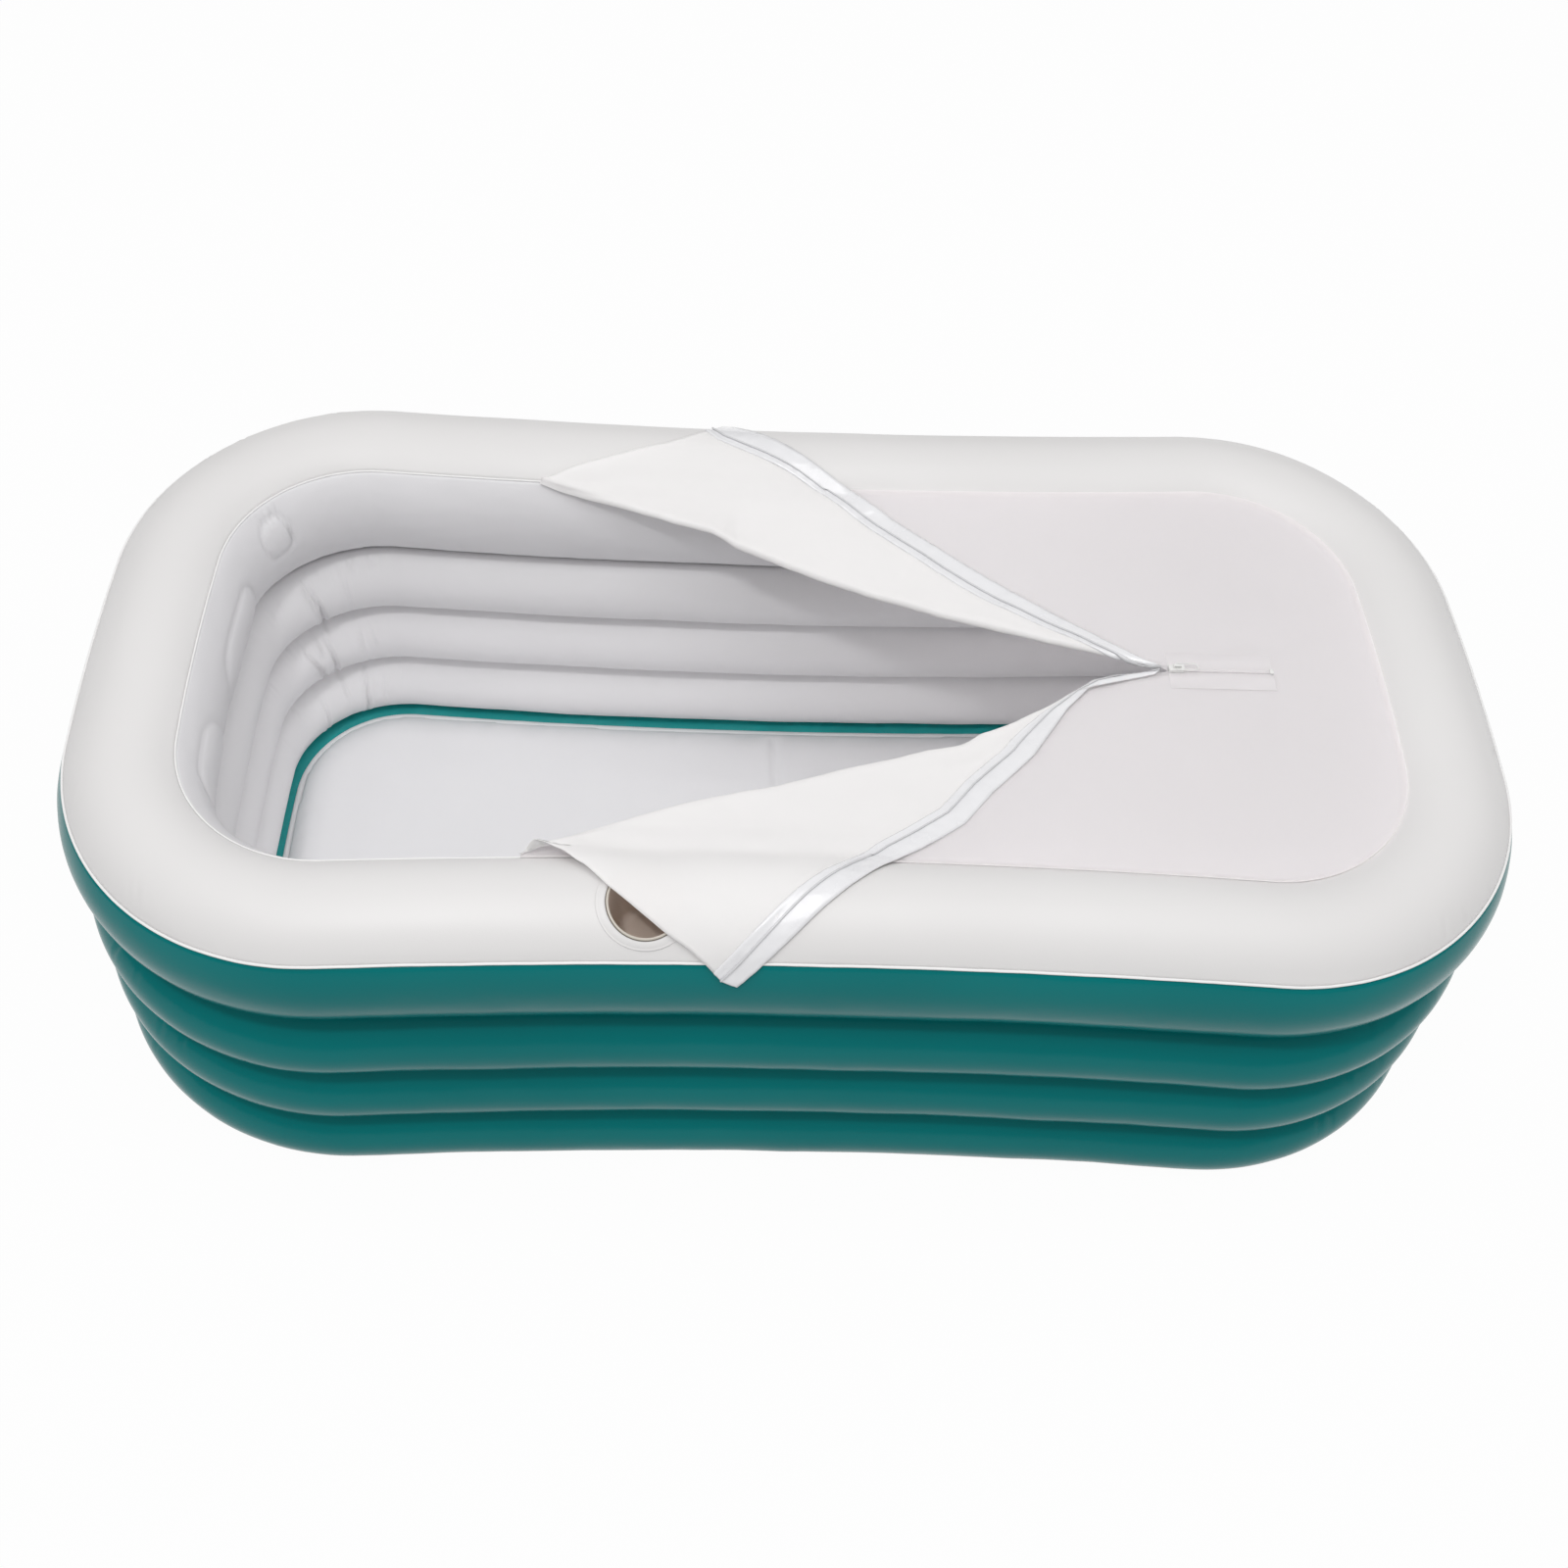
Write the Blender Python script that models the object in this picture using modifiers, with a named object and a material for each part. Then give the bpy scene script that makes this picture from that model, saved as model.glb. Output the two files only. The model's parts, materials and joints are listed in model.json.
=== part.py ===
"""Inflatable bathtub with a zipped cover.

The tub is built the way the real one is welded: thin films are joined along creases and seams
into an upright air wall of four rings, tied inside by three webs. X runs along the tub with the
open head end at -X, Y runs across it with the back at +Y, and the floor it stands on is Z = 0.
"""
import math

import bmesh
import bpy
from mathutils import Matrix, Vector

# Plan of the wall's middle line: a long waist arc, a corner arc and an end arc, all tangent.
HALF_LENGTH = 0.800          # to the outside of the rings
WAIST_HALF_WIDTH = 0.4045    # to the outside of the rings at mid length
WAIST_RADIUS = 8.270
CORNER_RADIUS = 0.217
END_RADIUS = 2.900
WAIST_STEPS, CORNER_STEPS, END_STEPS = 3, 6, 2

# Section of the wall.
FILM = 0.0005
GAP = 0.0003                 # left between pieces that are welded face to face
RING_REACH = 0.079           # middle line to the outside of a ring
RING_BULGE = 0.038           # crease to the outside of a ring
RING_PITCH = 0.1008
LOWER_RINGS = 3
WELD_LAND = 0.004            # flat band of film where a web is welded on
TOP_RING_RISE = 0.165        # upper web to the crown
OUTER_SEAM_RUN = 0.077       # crown to the white and teal seam, along the film
INNER_SEAM_RUN = 0.0604      # crown to the inner seam, along the film
RING_STEPS = 5
TOP_STEPS = 6

# Air passages through the webs.
AIR_HOLE_RADIUS = 0.012
AIR_HOLE_SIDES = 12
AIR_HOLE_PLACE_SHARES = ((0.0, 1.0), (0.0, -1.0), (1.0, 0.0), (-1.0, 0.0))

# Seam beads and the base.
OUTER_SEAM_WIDTH = 0.0045
OUTER_SEAM_THICKNESS = 0.0012
INNER_SEAM_RADIUS = 0.0012
BASE_FLANGE = 0.004          # base film past the lowest crease

# Floor cushion.
FLOOR_INSET = 0.076          # middle line to the cushion's welded edge
FLOOR_HEM = 0.008
FLOOR_HEM_THICKNESS = 0.0015
FLOOR_SHOULDER = 0.044       # width of the cushion's rounded edge
FLOOR_CROWN_RUN = 0.052      # from the shoulder to the flat crown
FLOOR_SHOULDER_HEIGHT = 0.034
FLOOR_CROWN_HEIGHT = 0.038
FLOOR_STEPS = 5
CHANNEL_RADIUS = 0.045
CHANNEL_DEPTH = 0.006

# Cover: welded along the inner seam, open from its left edge to the slider.
COVER_THICKNESS = 0.0008
HEAD_OPENING = 0.500         # tub's head end to where the open edges leave the seam
ZIP_END_INSET = 0.255        # tub's foot end to the end of the zip
CLOSED_ZIP_LENGTH = 0.121    # point of the open V to the end of the zip
SLIT_WIDTH = 0.0012

# Flaps folded back over the rim.
FLAP_FILM = 0.0005
FLAP_LIFT = 0.0035           # middle of the flap above the rim's film
FLAP_CORNER_AHEAD = 0.219    # fold's start to the folded corner, along the tub
FLAP_CORNER_RUN = 0.166      # inner seam to the folded corner, along the film
FLAP_FOLD_MARGIN = 0.0015    # fold line to the flap's inner edge
FLAP_HEAD_MARGIN = 0.004     # seam to the flap's start along the fold
FLAP_POINT_MARGIN = 0.030    # slider to the flap's narrow end along the fold
FLAP_WAVE = 0.006            # height of the flap's soft folds
FLAP_WAVES = 3
FLAP_ROWS = 16
FLAP_COLUMN_SHARES = (0.0, 0.12, 0.24, 0.36, 0.47, 0.58, 0.69, 0.79, 0.89, 1.0)

# Zip tapes and rails.
TAPE_WIDTH = 0.032
TAPE_THICKNESS = 0.0006
TAPE_RAIL_INSET = 0.010      # flap tape's inner border to its rail
TAPE_POINT_WIDTH = 0.012     # flap tape where it runs in to the slider
TAPE_TAPER_SHARE = 0.7       # of the flap's length before the tape starts to narrow
RAIL_WIDTH = 0.0020
RAIL_HEIGHT = 0.0024
RAIL_SEAT = 0.0006           # flap tape to its rail, over the bends of the drape
CLOSED_TAPE_WIDTH = 0.026
STOP_LENGTH = 0.005
STOP_OVERHANG = 0.0012

# Slider and its pull loop.
SLIDER_LENGTH = 0.018
SLIDER_WALL = 0.0016
SLIDER_ROOF = 0.0018
SLIDER_CLEARANCE = 0.0003
BRIDGE_LENGTH = 0.009
BRIDGE_WIDTH = 0.003
BRIDGE_HEIGHT = 0.0042
BRIDGE_WALL = 0.0012
PULL_WIRE_RADIUS = 0.0007
PULL_LENGTH = 0.024
PULL_WIDTH = 0.011

# Cup holder let into the front of the top ring.
CUP_AHEAD = 0.142            # fold's start to the cup's middle, along the tub
CUP_RUN = 0.014              # crown to the cup's middle, along the film
CUP_RADIUS = 0.0365
CUP_DEPTH = 0.070
CUP_TAPER = 0.003
CUP_WALL = 0.0008
CUP_RING_RADIUS = 0.0505
CUP_RING_THICKNESS = 0.0008
CUP_LIP_RADIUS = 0.0405
CUP_LIP_THICKNESS = 0.0006
CUP_SIDES = 32

# Air valves: a short recessed cup with a lip and a push-in plug.
VALVE_RADIUS = 0.014
VALVE_BORE = 0.0085
VALVE_DEPTH = 0.020
VALVE_FLOOR = 0.003
VALVE_AIR_HOLE = 0.004
VALVE_LIP_RADIUS = 0.018
VALVE_LIP = 0.0016
VALVE_PLUG_LENGTH = 0.011
VALVE_PLUG_RADIUS = 0.013
FLOOR_VALVE_INSET = 0.280    # tub's foot end to the floor valve

# Drain through the lowest ring at the foot end.
DRAIN_RADIUS = 0.0135
DRAIN_BORE = 0.0105
DRAIN_FLANGE_RADIUS = 0.021
DRAIN_FLANGE = 0.0016
DRAIN_PLUG_LENGTH = 0.014
DRAIN_PLUG_RADIUS = 0.0165

# Heads of the push-in plugs.
PLUG_HEAD = 0.0032
PLUG_GRIP = 0.0032
PLUG_GRIP_RADIUS = 0.004

TURN_SIDES = 18
CUT_OVERRUN = 0.010
MERGE = 0.00002

# Sizes that follow from the ones above.
CREASE_REACH = RING_REACH - RING_BULGE
MID_HALF_LENGTH = HALF_LENGTH - RING_REACH
MID_HALF_WIDTH = WAIST_HALF_WIDTH - RING_REACH
TOP_WEB_HEIGHT = LOWER_RINGS * RING_PITCH
CREASE_DROP_SHARE = math.sqrt(1 - (CREASE_REACH / RING_REACH) ** 2)
TOP_SEMI = (TOP_RING_RISE - WELD_LAND / 2) / (1 + CREASE_DROP_SHARE)
TOP_CENTRE = TOP_WEB_HEIGHT + WELD_LAND / 2 + TOP_SEMI * CREASE_DROP_SHARE
WALL_FOOT = FILM * 1.5 + GAP
SEAM_LIFT = FILM / 2 + GAP
COVER_START = HEAD_OPENING - HALF_LENGTH
ZIP_END = HALF_LENGTH - ZIP_END_INSET
SLIDER_START = ZIP_END - CLOSED_ZIP_LENGTH
FLAP_CORNER_X = COVER_START + FLAP_CORNER_AHEAD
CUP_X = COVER_START + CUP_AHEAD
FLOOR_VALVE_X = HALF_LENGTH - FLOOR_VALVE_INSET

COLOURS = {
    "teal": (0.004, 0.155, 0.148), "white": (0.80, 0.79, 0.78), "inner": (0.66, 0.66, 0.69),
    "floor": (0.70, 0.71, 0.74), "cover": (0.80, 0.77, 0.77), "clear": (0.82, 0.83, 0.86),
    "beige": (0.62, 0.56, 0.48), "brown": (0.25, 0.20, 0.16), "plastic": (0.86, 0.86, 0.85),
}
ROUGHNESS_SHARES = {"teal": 0.42, "white": 0.45, "inner": 0.48, "floor": 0.5, "cover": 0.62,
                    "clear": 0.22, "beige": 0.4, "brown": 0.5, "plastic": 0.35}


def clear_scene():
    """Remove whatever the file starts with."""
    for item in list(bpy.data.objects):
        bpy.data.objects.remove(item, do_unlink=True)


def collection(name):
    """A collection under the scene, made once."""
    found = bpy.data.collections.get(name)
    if found is None:
        found = bpy.data.collections.new(name)
        bpy.context.scene.collection.children.link(found)
    return found


def finish(name, key):
    """A material of the named colour for one piece."""
    material = bpy.data.materials.new(name + "_finish")
    material.use_nodes = True
    shader = material.node_tree.nodes["Principled BSDF"]
    shader.inputs["Base Color"].default_value = (*COLOURS[key], 1.0)
    shader.inputs["Roughness"].default_value = ROUGHNESS_SHARES[key]
    shader.inputs["Metallic"].default_value = 0.0
    return material


def to_object(name, mesh_builder, colour=None, origin=(0, 0, 0)):
    """Put a bmesh in the scene as a piece, or as a cutter when it has no colour."""
    shift = Matrix.Translation(-Vector(origin))
    bmesh.ops.transform(mesh_builder, matrix=shift, verts=mesh_builder.verts)
    mesh = bpy.data.meshes.new(name)
    mesh_builder.to_mesh(mesh)
    mesh_builder.free()
    item = bpy.data.objects.new(name, mesh)
    item.location = origin
    if colour is None:
        collection("cutters").objects.link(item)
        item.hide_render = True
        item.display_type = 'WIRE'
        return item
    collection("inflatable_bathtub").objects.link(item)
    mesh.materials.append(finish(name, colour))
    mesh.shade_smooth()
    mesh.set_sharp_from_angle(angle=math.radians(35))
    return item


def thicken(item, thickness):
    """Give an open film its thickness, half to each side."""
    solid = item.modifiers.new("film", 'SOLIDIFY')
    solid.thickness = thickness
    solid.offset = 0.0
    solid.use_even_offset = True


def cut(item, cutter):
    """Take a cutter out of a piece."""
    boolean = item.modifiers.new("cut", 'BOOLEAN')
    boolean.operation = 'DIFFERENCE'
    boolean.object = cutter


def join(item, cutter):
    """Fuse a helper solid with a piece."""
    boolean = item.modifiers.new("join", 'BOOLEAN')
    boolean.operation = 'UNION'
    boolean.object = cutter


def plan_arcs():
    """Centre, turn and steps of the quarter's waist, corner and end arcs."""
    waist = Vector((0, MID_HALF_WIDTH + WAIST_RADIUS))
    end = Vector((MID_HALF_LENGTH - END_RADIUS, 0))
    span = end - waist
    reach_waist = WAIST_RADIUS + CORNER_RADIUS
    reach_end = END_RADIUS - CORNER_RADIUS
    along = (reach_waist ** 2 - reach_end ** 2 + span.length_squared) / (2 * span.length)
    aside = math.sqrt(reach_waist ** 2 - along ** 2)
    across = Vector((-span.y, span.x)).normalized()
    corner = waist + span.normalized() * along + across * aside
    from_waist = (corner - waist).normalized()
    from_end = (corner - end).normalized()
    waist_turn = math.atan2(from_waist.x, -from_waist.y)
    end_turn = math.atan2(from_end.y, from_end.x)
    corner_turn = math.pi / 2 + waist_turn - end_turn
    return ((waist, waist_turn, WAIST_STEPS),
            (corner, -corner_turn, CORNER_STEPS),
            (end, -end_turn, END_STEPS))


def sweep(section, closed=False, fill=False):
    """Carry a section of (offset, height) points round the whole plan."""
    bm = bmesh.new()
    points = [bm.verts.new((0, MID_HALF_WIDTH + offset, height)) for offset, height in section]
    edges = [bm.edges.new(pair) for pair in zip(points, points[1:])]
    if closed:
        edges.append(bm.edges.new((points[-1], points[0])))
    front = points + edges
    for centre, turn, steps in plan_arcs():
        made = bmesh.ops.spin(bm, geom=front, cent=(*centre, 0), axis=(0, 0, 1), angle=turn,
                              steps=steps)
        front = made["geom_last"]
    for axis in ('X', 'Y'):
        bmesh.ops.mirror(bm, geom=bm.verts[:] + bm.edges[:] + bm.faces[:], axis=axis,
                         merge_dist=MERGE)
    bmesh.ops.remove_doubles(bm, verts=bm.verts, dist=MERGE)
    if fill:
        bmesh.ops.holes_fill(bm, edges=[e for e in bm.edges if e.is_boundary], sides=0)
    bmesh.ops.recalc_face_normals(bm, faces=bm.faces)
    return bm


def arc(start, end, bulge, steps):
    """Points of a circular arc between two (offset, height) points, bulging to +offset."""
    start, end = Vector(start), Vector(end)
    half = (end - start).length / 2
    radius = (half ** 2 + bulge ** 2) / (2 * abs(bulge))
    side = math.copysign(1, bulge)
    middle = (start + end) / 2 + Vector((bulge - side * radius, 0))
    swing = math.asin(half / radius)
    angles = [swing - 2 * swing * i / steps for i in range(steps + 1)]
    return [(middle.x + side * radius * math.cos(a), middle.y + radius * math.sin(a))
            for a in angles]


def rim_angle(run):
    """Angle on the top ring's ellipse at a run of film from the crown, outwards positive."""
    angle, steps = math.pi / 2, 60
    for _ in range(steps):
        slope = math.hypot(RING_REACH * math.sin(angle), TOP_SEMI * math.cos(angle))
        angle -= run / steps / slope
    return angle


def rim_point(angle, lift=0):
    """(offset, height) on the top ring, raised off its film by lift."""
    normal = Vector((math.cos(angle) / RING_REACH, math.sin(angle) / TOP_SEMI)).normalized()
    return (RING_REACH * math.cos(angle) + normal.x * lift,
            TOP_CENTRE + TOP_SEMI * math.sin(angle) + normal.y * lift)


def rim_section(start, end, steps):
    """Points of the top ring's film between two angles."""
    return [rim_point(start + (end - start) * i / steps) for i in range(steps + 1)]


def lower_rings(side):
    """Section of the rings below the top one, from the upper web down to the base."""
    reach, bulge = side * CREASE_REACH, side * RING_BULGE
    points = []
    for ring in range(LOWER_RINGS, 0, -1):
        top = ring * RING_PITCH - WELD_LAND / 2
        bottom = (ring - 1) * RING_PITCH + WELD_LAND / 2 if ring > 1 else WALL_FOOT
        points += arc((reach, top), (reach, bottom), bulge, RING_STEPS)
    return points


def long_side(x, offset, height, side):
    """A point beside one long side, at an offset from the wall's middle line there."""
    turn = math.asin(x / WAIST_RADIUS)
    y = MID_HALF_WIDTH + WAIST_RADIUS * (1 - math.cos(turn)) + offset * math.cos(turn)
    return Vector((x - offset * math.sin(turn), side * y, height))


def cylinder(name, radius, length, matrix, sides=TURN_SIDES, colour=None):
    """A round bar centred on the origin of matrix, along its Z."""
    bm = bmesh.new()
    bmesh.ops.create_cone(bm, cap_ends=True, segments=sides, radius1=radius, radius2=radius,
                          depth=length, matrix=matrix)
    return to_object(name, bm, colour)


def turned(name, profile, matrix, colour, closed=False):
    """Turn a profile of (radius, height) points about the Z of matrix."""
    bm = bmesh.new()
    points = [bm.verts.new((radius, 0, height)) for radius, height in profile]
    edges = [bm.edges.new(pair) for pair in zip(points, points[1:])]
    if closed:
        edges.append(bm.edges.new((points[-1], points[0])))
    bmesh.ops.spin(bm, geom=points + edges, cent=(0, 0, 0), axis=(0, 0, 1), angle=math.tau,
                   steps=TURN_SIDES, use_merge=True)
    bmesh.ops.remove_doubles(bm, verts=bm.verts, dist=MERGE)
    bmesh.ops.recalc_face_normals(bm, faces=bm.faces)
    place = matrix.to_translation()
    bmesh.ops.transform(bm, matrix=matrix, verts=bm.verts)
    return to_object(name, bm, colour, place)


def box(name, low, high, colour=None, origin=None):
    """A block between two corners."""
    low, high = Vector(low), Vector(high)
    size = Matrix.Diagonal((*(high - low), 1))
    bm = bmesh.new()
    bmesh.ops.create_cube(bm, size=1, matrix=Matrix.Translation((low + high) / 2) @ size)
    return to_object(name, bm, colour, origin or (0, 0, 0))


def prism(name, outline, low, high, colour=None):
    """A flat outline of (x, y) points, counter-clockwise, drawn up from one height to another."""
    bm = bmesh.new()
    face = bm.faces.new([bm.verts.new((x, y, low)) for x, y in outline])
    made = bmesh.ops.extrude_face_region(bm, geom=[face])["geom"]
    top = [v for v in made if isinstance(v, bmesh.types.BMVert)]
    bmesh.ops.translate(bm, vec=(0, 0, high - low), verts=top)
    return to_object(name, bm, colour)


def build_wall():
    """Outer, inner and top films of the air wall."""
    crease = math.asin(CREASE_DROP_SHARE)
    outer_seam = rim_angle(OUTER_SEAM_RUN)
    inner_seam = rim_angle(-INNER_SEAM_RUN)
    half_gap = GAP / RING_REACH
    outer = rim_section(outer_seam - half_gap, -crease, TOP_STEPS) + lower_rings(1)
    inner = rim_section(inner_seam + half_gap, math.pi + crease, TOP_STEPS) + lower_rings(-1)
    top = rim_section(outer_seam + half_gap, inner_seam - half_gap, TOP_STEPS)
    wall = {"outer_wall": (outer, "teal"), "inner_wall": (inner, "inner"),
            "top_rim": (top, "white")}
    pieces = {}
    for name, (section, colour) in wall.items():
        pieces[name] = to_object(name, sweep(section), colour)
        thicken(pieces[name], FILM)
    return pieces


def build_webs():
    """Flat webs that tie the outer film to the inner one at each crease."""
    reach = CREASE_REACH - FILM / 2 - GAP
    for level, name in enumerate(("web_lower", "web_middle", "web_upper"), start=1):
        height = level * RING_PITCH
        web = to_object(name, sweep([(-reach, height), (reach, height)]), "inner")
        thicken(web, FILM)
        bm = bmesh.new()
        for across_share, along_share in AIR_HOLE_PLACE_SHARES:
            place = (across_share * MID_HALF_LENGTH, along_share * MID_HALF_WIDTH, height)
            bmesh.ops.create_cone(bm, cap_ends=True, segments=AIR_HOLE_SIDES,
                                  depth=CUT_OVERRUN, radius1=AIR_HOLE_RADIUS,
                                  radius2=AIR_HOLE_RADIUS, matrix=Matrix.Translation(place))
        cut(web, to_object(name + "_air_holes", bm))


def build_seams():
    """Welded bead over the white and teal seam, and the bead of the inner seam."""
    angle = rim_angle(OUTER_SEAM_RUN)
    half = OUTER_SEAM_WIDTH / 2 / RING_REACH
    near, far = SEAM_LIFT, SEAM_LIFT + OUTER_SEAM_THICKNESS
    section = [rim_point(angle - half, near), rim_point(angle + half, near),
               rim_point(angle + half, far), rim_point(angle - half, far)]
    to_object("outer_seam", sweep(section, closed=True), "white")
    centre = Vector(seam_bead_centre())
    sides = 6
    ring = [centre + INNER_SEAM_RADIUS * Vector((math.cos(math.tau * i / sides),
                                                 math.sin(math.tau * i / sides)))
            for i in range(sides)]
    to_object("inner_seam", sweep([tuple(p) for p in ring], closed=True), "white")


def seam_bead_centre():
    """(offset, height) of the inner seam's bead."""
    return rim_point(rim_angle(-INNER_SEAM_RUN), SEAM_LIFT + INNER_SEAM_RADIUS)


def build_base():
    """Teal film under the whole tub."""
    edge = CREASE_REACH + BASE_FLANGE
    to_object("base_sheet", sweep([(edge, 0), (edge, FILM)], fill=True), "teal")


def build_floor():
    """White floor cushion with a flat welded hem, a crown and one channel across."""
    low = FILM + GAP
    hem_top = low + FLOOR_HEM_THICKNESS
    hem = -FLOOR_INSET - FLOOR_HEM
    section = [(-FLOOR_INSET, low), (-FLOOR_INSET, hem_top)]
    for step in range(FLOOR_STEPS + 1):
        turn = math.pi / 2 * step / FLOOR_STEPS
        section.append((hem - FLOOR_SHOULDER * (1 - math.cos(turn)),
                        hem_top + (FLOOR_SHOULDER_HEIGHT - hem_top) * math.sin(turn)))
    section.append((hem - FLOOR_SHOULDER - FLOOR_CROWN_RUN, FLOOR_CROWN_HEIGHT))
    cushion = to_object("floor_cushion", sweep(section, fill=True), "floor")
    lift = CHANNEL_RADIUS - CHANNEL_DEPTH
    across = Matrix.Translation((0, 0, FLOOR_CROWN_HEIGHT + lift)) @ Matrix.Rotation(
        math.pi / 2, 4, 'X')
    cut(cushion, cylinder("floor_channel", CHANNEL_RADIUS, 2 * WAIST_HALF_WIDTH, across))
    return cushion


def fold_line():
    """Ends (x, y) of the open V's edge on the back side, at the seam and at the slider."""
    offset = seam_bead_centre()[0] - INNER_SEAM_RADIUS - GAP
    start = long_side(COVER_START, offset, 0, 1)
    return Vector((start.x, start.y)), Vector((SLIDER_START, 0))


def build_cover():
    """Cover film welded inside the inner seam, with the open V and the zip's slit."""
    offset, height = seam_bead_centre()
    low, high = height - COVER_THICKNESS / 2, height + COVER_THICKNESS / 2
    edge = offset - INNER_SEAM_RADIUS - GAP
    cover = to_object("cover_sheet", sweep([(edge, low), (edge, high)], fill=True), "cover")
    start, point = fold_line()
    slit = SLIT_WIDTH / 2
    reach = start + (start - point)
    outline = [(-HALF_LENGTH, -reach.y), (reach.x, -reach.y), (point.x, -slit),
               (ZIP_END, -slit), (ZIP_END, slit), (point.x, slit), (reach.x, reach.y),
               (-HALF_LENGTH, reach.y)]
    cut(cover, prism("open_mouth", outline, low - CUT_OVERRUN, high + CUT_OVERRUN))


def flap_ends():
    """Flat corners of the back flap: fold start, fold end, free corner and free point."""
    start, point = fold_line()
    along = (point - start).normalized()
    out = Vector((-along.y, along.x))
    fold_start = start + along * FLAP_HEAD_MARGIN + out * FLAP_FOLD_MARGIN
    fold_end = point - along * FLAP_POINT_MARGIN + out * FLAP_FOLD_MARGIN
    seam = long_side(FLAP_CORNER_X, rim_point(rim_angle(-INNER_SEAM_RUN))[0], 0, 1)
    corner = Vector((FLAP_CORNER_X, seam.y + FLAP_CORNER_RUN))
    return fold_start, fold_end, corner, fold_end + out * TAPE_POINT_WIDTH


def drape(x, y, lift, side):
    """Lay a flat point of the cover on the tub: level inside the seam, then over the rim."""
    seam = long_side(x, rim_point(rim_angle(-INNER_SEAM_RUN))[0], 0, 1)
    run = y - seam.y
    if run > 0:
        offset, height = rim_point(rim_angle(run - INNER_SEAM_RUN), FLAP_LIFT + lift)
        return long_side(x, offset, height, side)
    offset, height = rim_point(rim_angle(-INNER_SEAM_RUN), FLAP_LIFT)
    level = long_side(x, offset, height, side)
    return Vector((level.x, level.y + side * run, height + lift))


def tape_share(along_share):
    """Share of the tape's full width at a place along the flap: it narrows to the slider."""
    reach = max(along_share - TAPE_TAPER_SHARE, 0) / (1 - TAPE_TAPER_SHARE)
    return 1 - (1 - TAPE_POINT_WIDTH / TAPE_WIDTH) * reach


def flap_point(along_share, across_share, edge_run, lift, side):
    """A point of the flap: shares along the fold and across to the tape, then a run over it."""
    fold_start, fold_end, corner, point = flap_ends()
    fold = fold_start.lerp(fold_end, along_share)
    free = corner.lerp(point, along_share)
    inward = (fold - free).normalized()
    narrowing = tape_share(along_share)
    border = free + inward * TAPE_WIDTH * narrowing
    flat = fold.lerp(border, across_share) - inward * edge_run * narrowing
    swell = math.sin(math.pi * FLAP_WAVES * along_share) ** 2
    swell *= math.sin(math.pi * min(across_share, 1)) * (1 - along_share)
    return drape(flat.x, flat.y, lift + FLAP_WAVE * swell, side)


def patch(rows, columns, place):
    """A grid of quads whose corners a function places by row and column number."""
    bm = bmesh.new()
    bmesh.ops.create_grid(bm, x_segments=rows, y_segments=columns, size=0.5)
    for vert in bm.verts:
        row = round((vert.co.x + 0.5) * rows)
        column = round((vert.co.y + 0.5) * columns)
        vert.co = place(row, column)
    bmesh.ops.recalc_face_normals(bm, faces=bm.faces)
    return bm


def fold_axis(side):
    """Point and direction of a flap's fold."""
    start, point = fold_line()
    cover = seam_bead_centre()[1]
    flap = rim_point(rim_angle(-INNER_SEAM_RUN), FLAP_LIFT)[1]
    height = (cover + flap) / 2
    return Vector((start.x, side * start.y, height)), Vector((point.x, 0, height))


def build_flap(name, side):
    """One folded flap with its zip tape and rail."""
    origin = fold_axis(side)[0]
    shares = FLAP_COLUMN_SHARES
    runs = (0, TAPE_RAIL_INSET, TAPE_WIDTH)

    def cloth(row, column):
        """Flap film: its shares up to the tape, then the runs under the tape."""
        share = shares[min(column, len(shares) - 1)]
        run = runs[max(column - len(shares) + 1, 0)]
        return flap_point(row / FLAP_ROWS, share, run, 0, side)

    flap = to_object(name, patch(FLAP_ROWS, len(shares) + len(runs) - 2, cloth), "cover", origin)
    thicken(flap, FLAP_FILM)
    tape_lift = FLAP_FILM / 2 + GAP + TAPE_THICKNESS / 2

    def band(row, column):
        """Zip tape over the flap's free edge."""
        return flap_point(row / FLAP_ROWS, 1, runs[column], tape_lift, side)

    tape = to_object(name + "_tape", patch(FLAP_ROWS, len(runs) - 1, band), "clear", origin)
    thicken(tape, TAPE_THICKNESS)
    build_flap_rail(name, side, tape_lift + TAPE_THICKNESS / 2 + RAIL_SEAT, origin)


def build_flap_rail(name, side, lift, origin):
    """Rail of the zip along a flap's tape, a bar of square section."""
    corners = ((0, 0), (RAIL_WIDTH, 0), (RAIL_WIDTH, RAIL_HEIGHT), (0, RAIL_HEIGHT), (0, 0))

    def bar(row, column):
        """Corner of the rail's section at one row."""
        run, rise = corners[column]
        run += TAPE_RAIL_INSET - RAIL_WIDTH / 2
        return flap_point(row / FLAP_ROWS, 1, run, lift + rise, side)

    bm = patch(FLAP_ROWS, len(corners) - 1, bar)
    bmesh.ops.remove_doubles(bm, verts=bm.verts, dist=MERGE)
    bmesh.ops.holes_fill(bm, edges=[e for e in bm.edges if e.is_boundary], sides=0)
    bmesh.ops.recalc_face_normals(bm, faces=bm.faces)
    to_object(name + "_rail", bm, "clear", origin)


def zip_levels():
    """Heights of the closed tapes' underside, their top and the rails' top."""
    low = seam_bead_centre()[1] + COVER_THICKNESS / 2 + GAP
    tape = low + TAPE_THICKNESS
    return low, tape, tape + GAP + RAIL_HEIGHT


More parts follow.
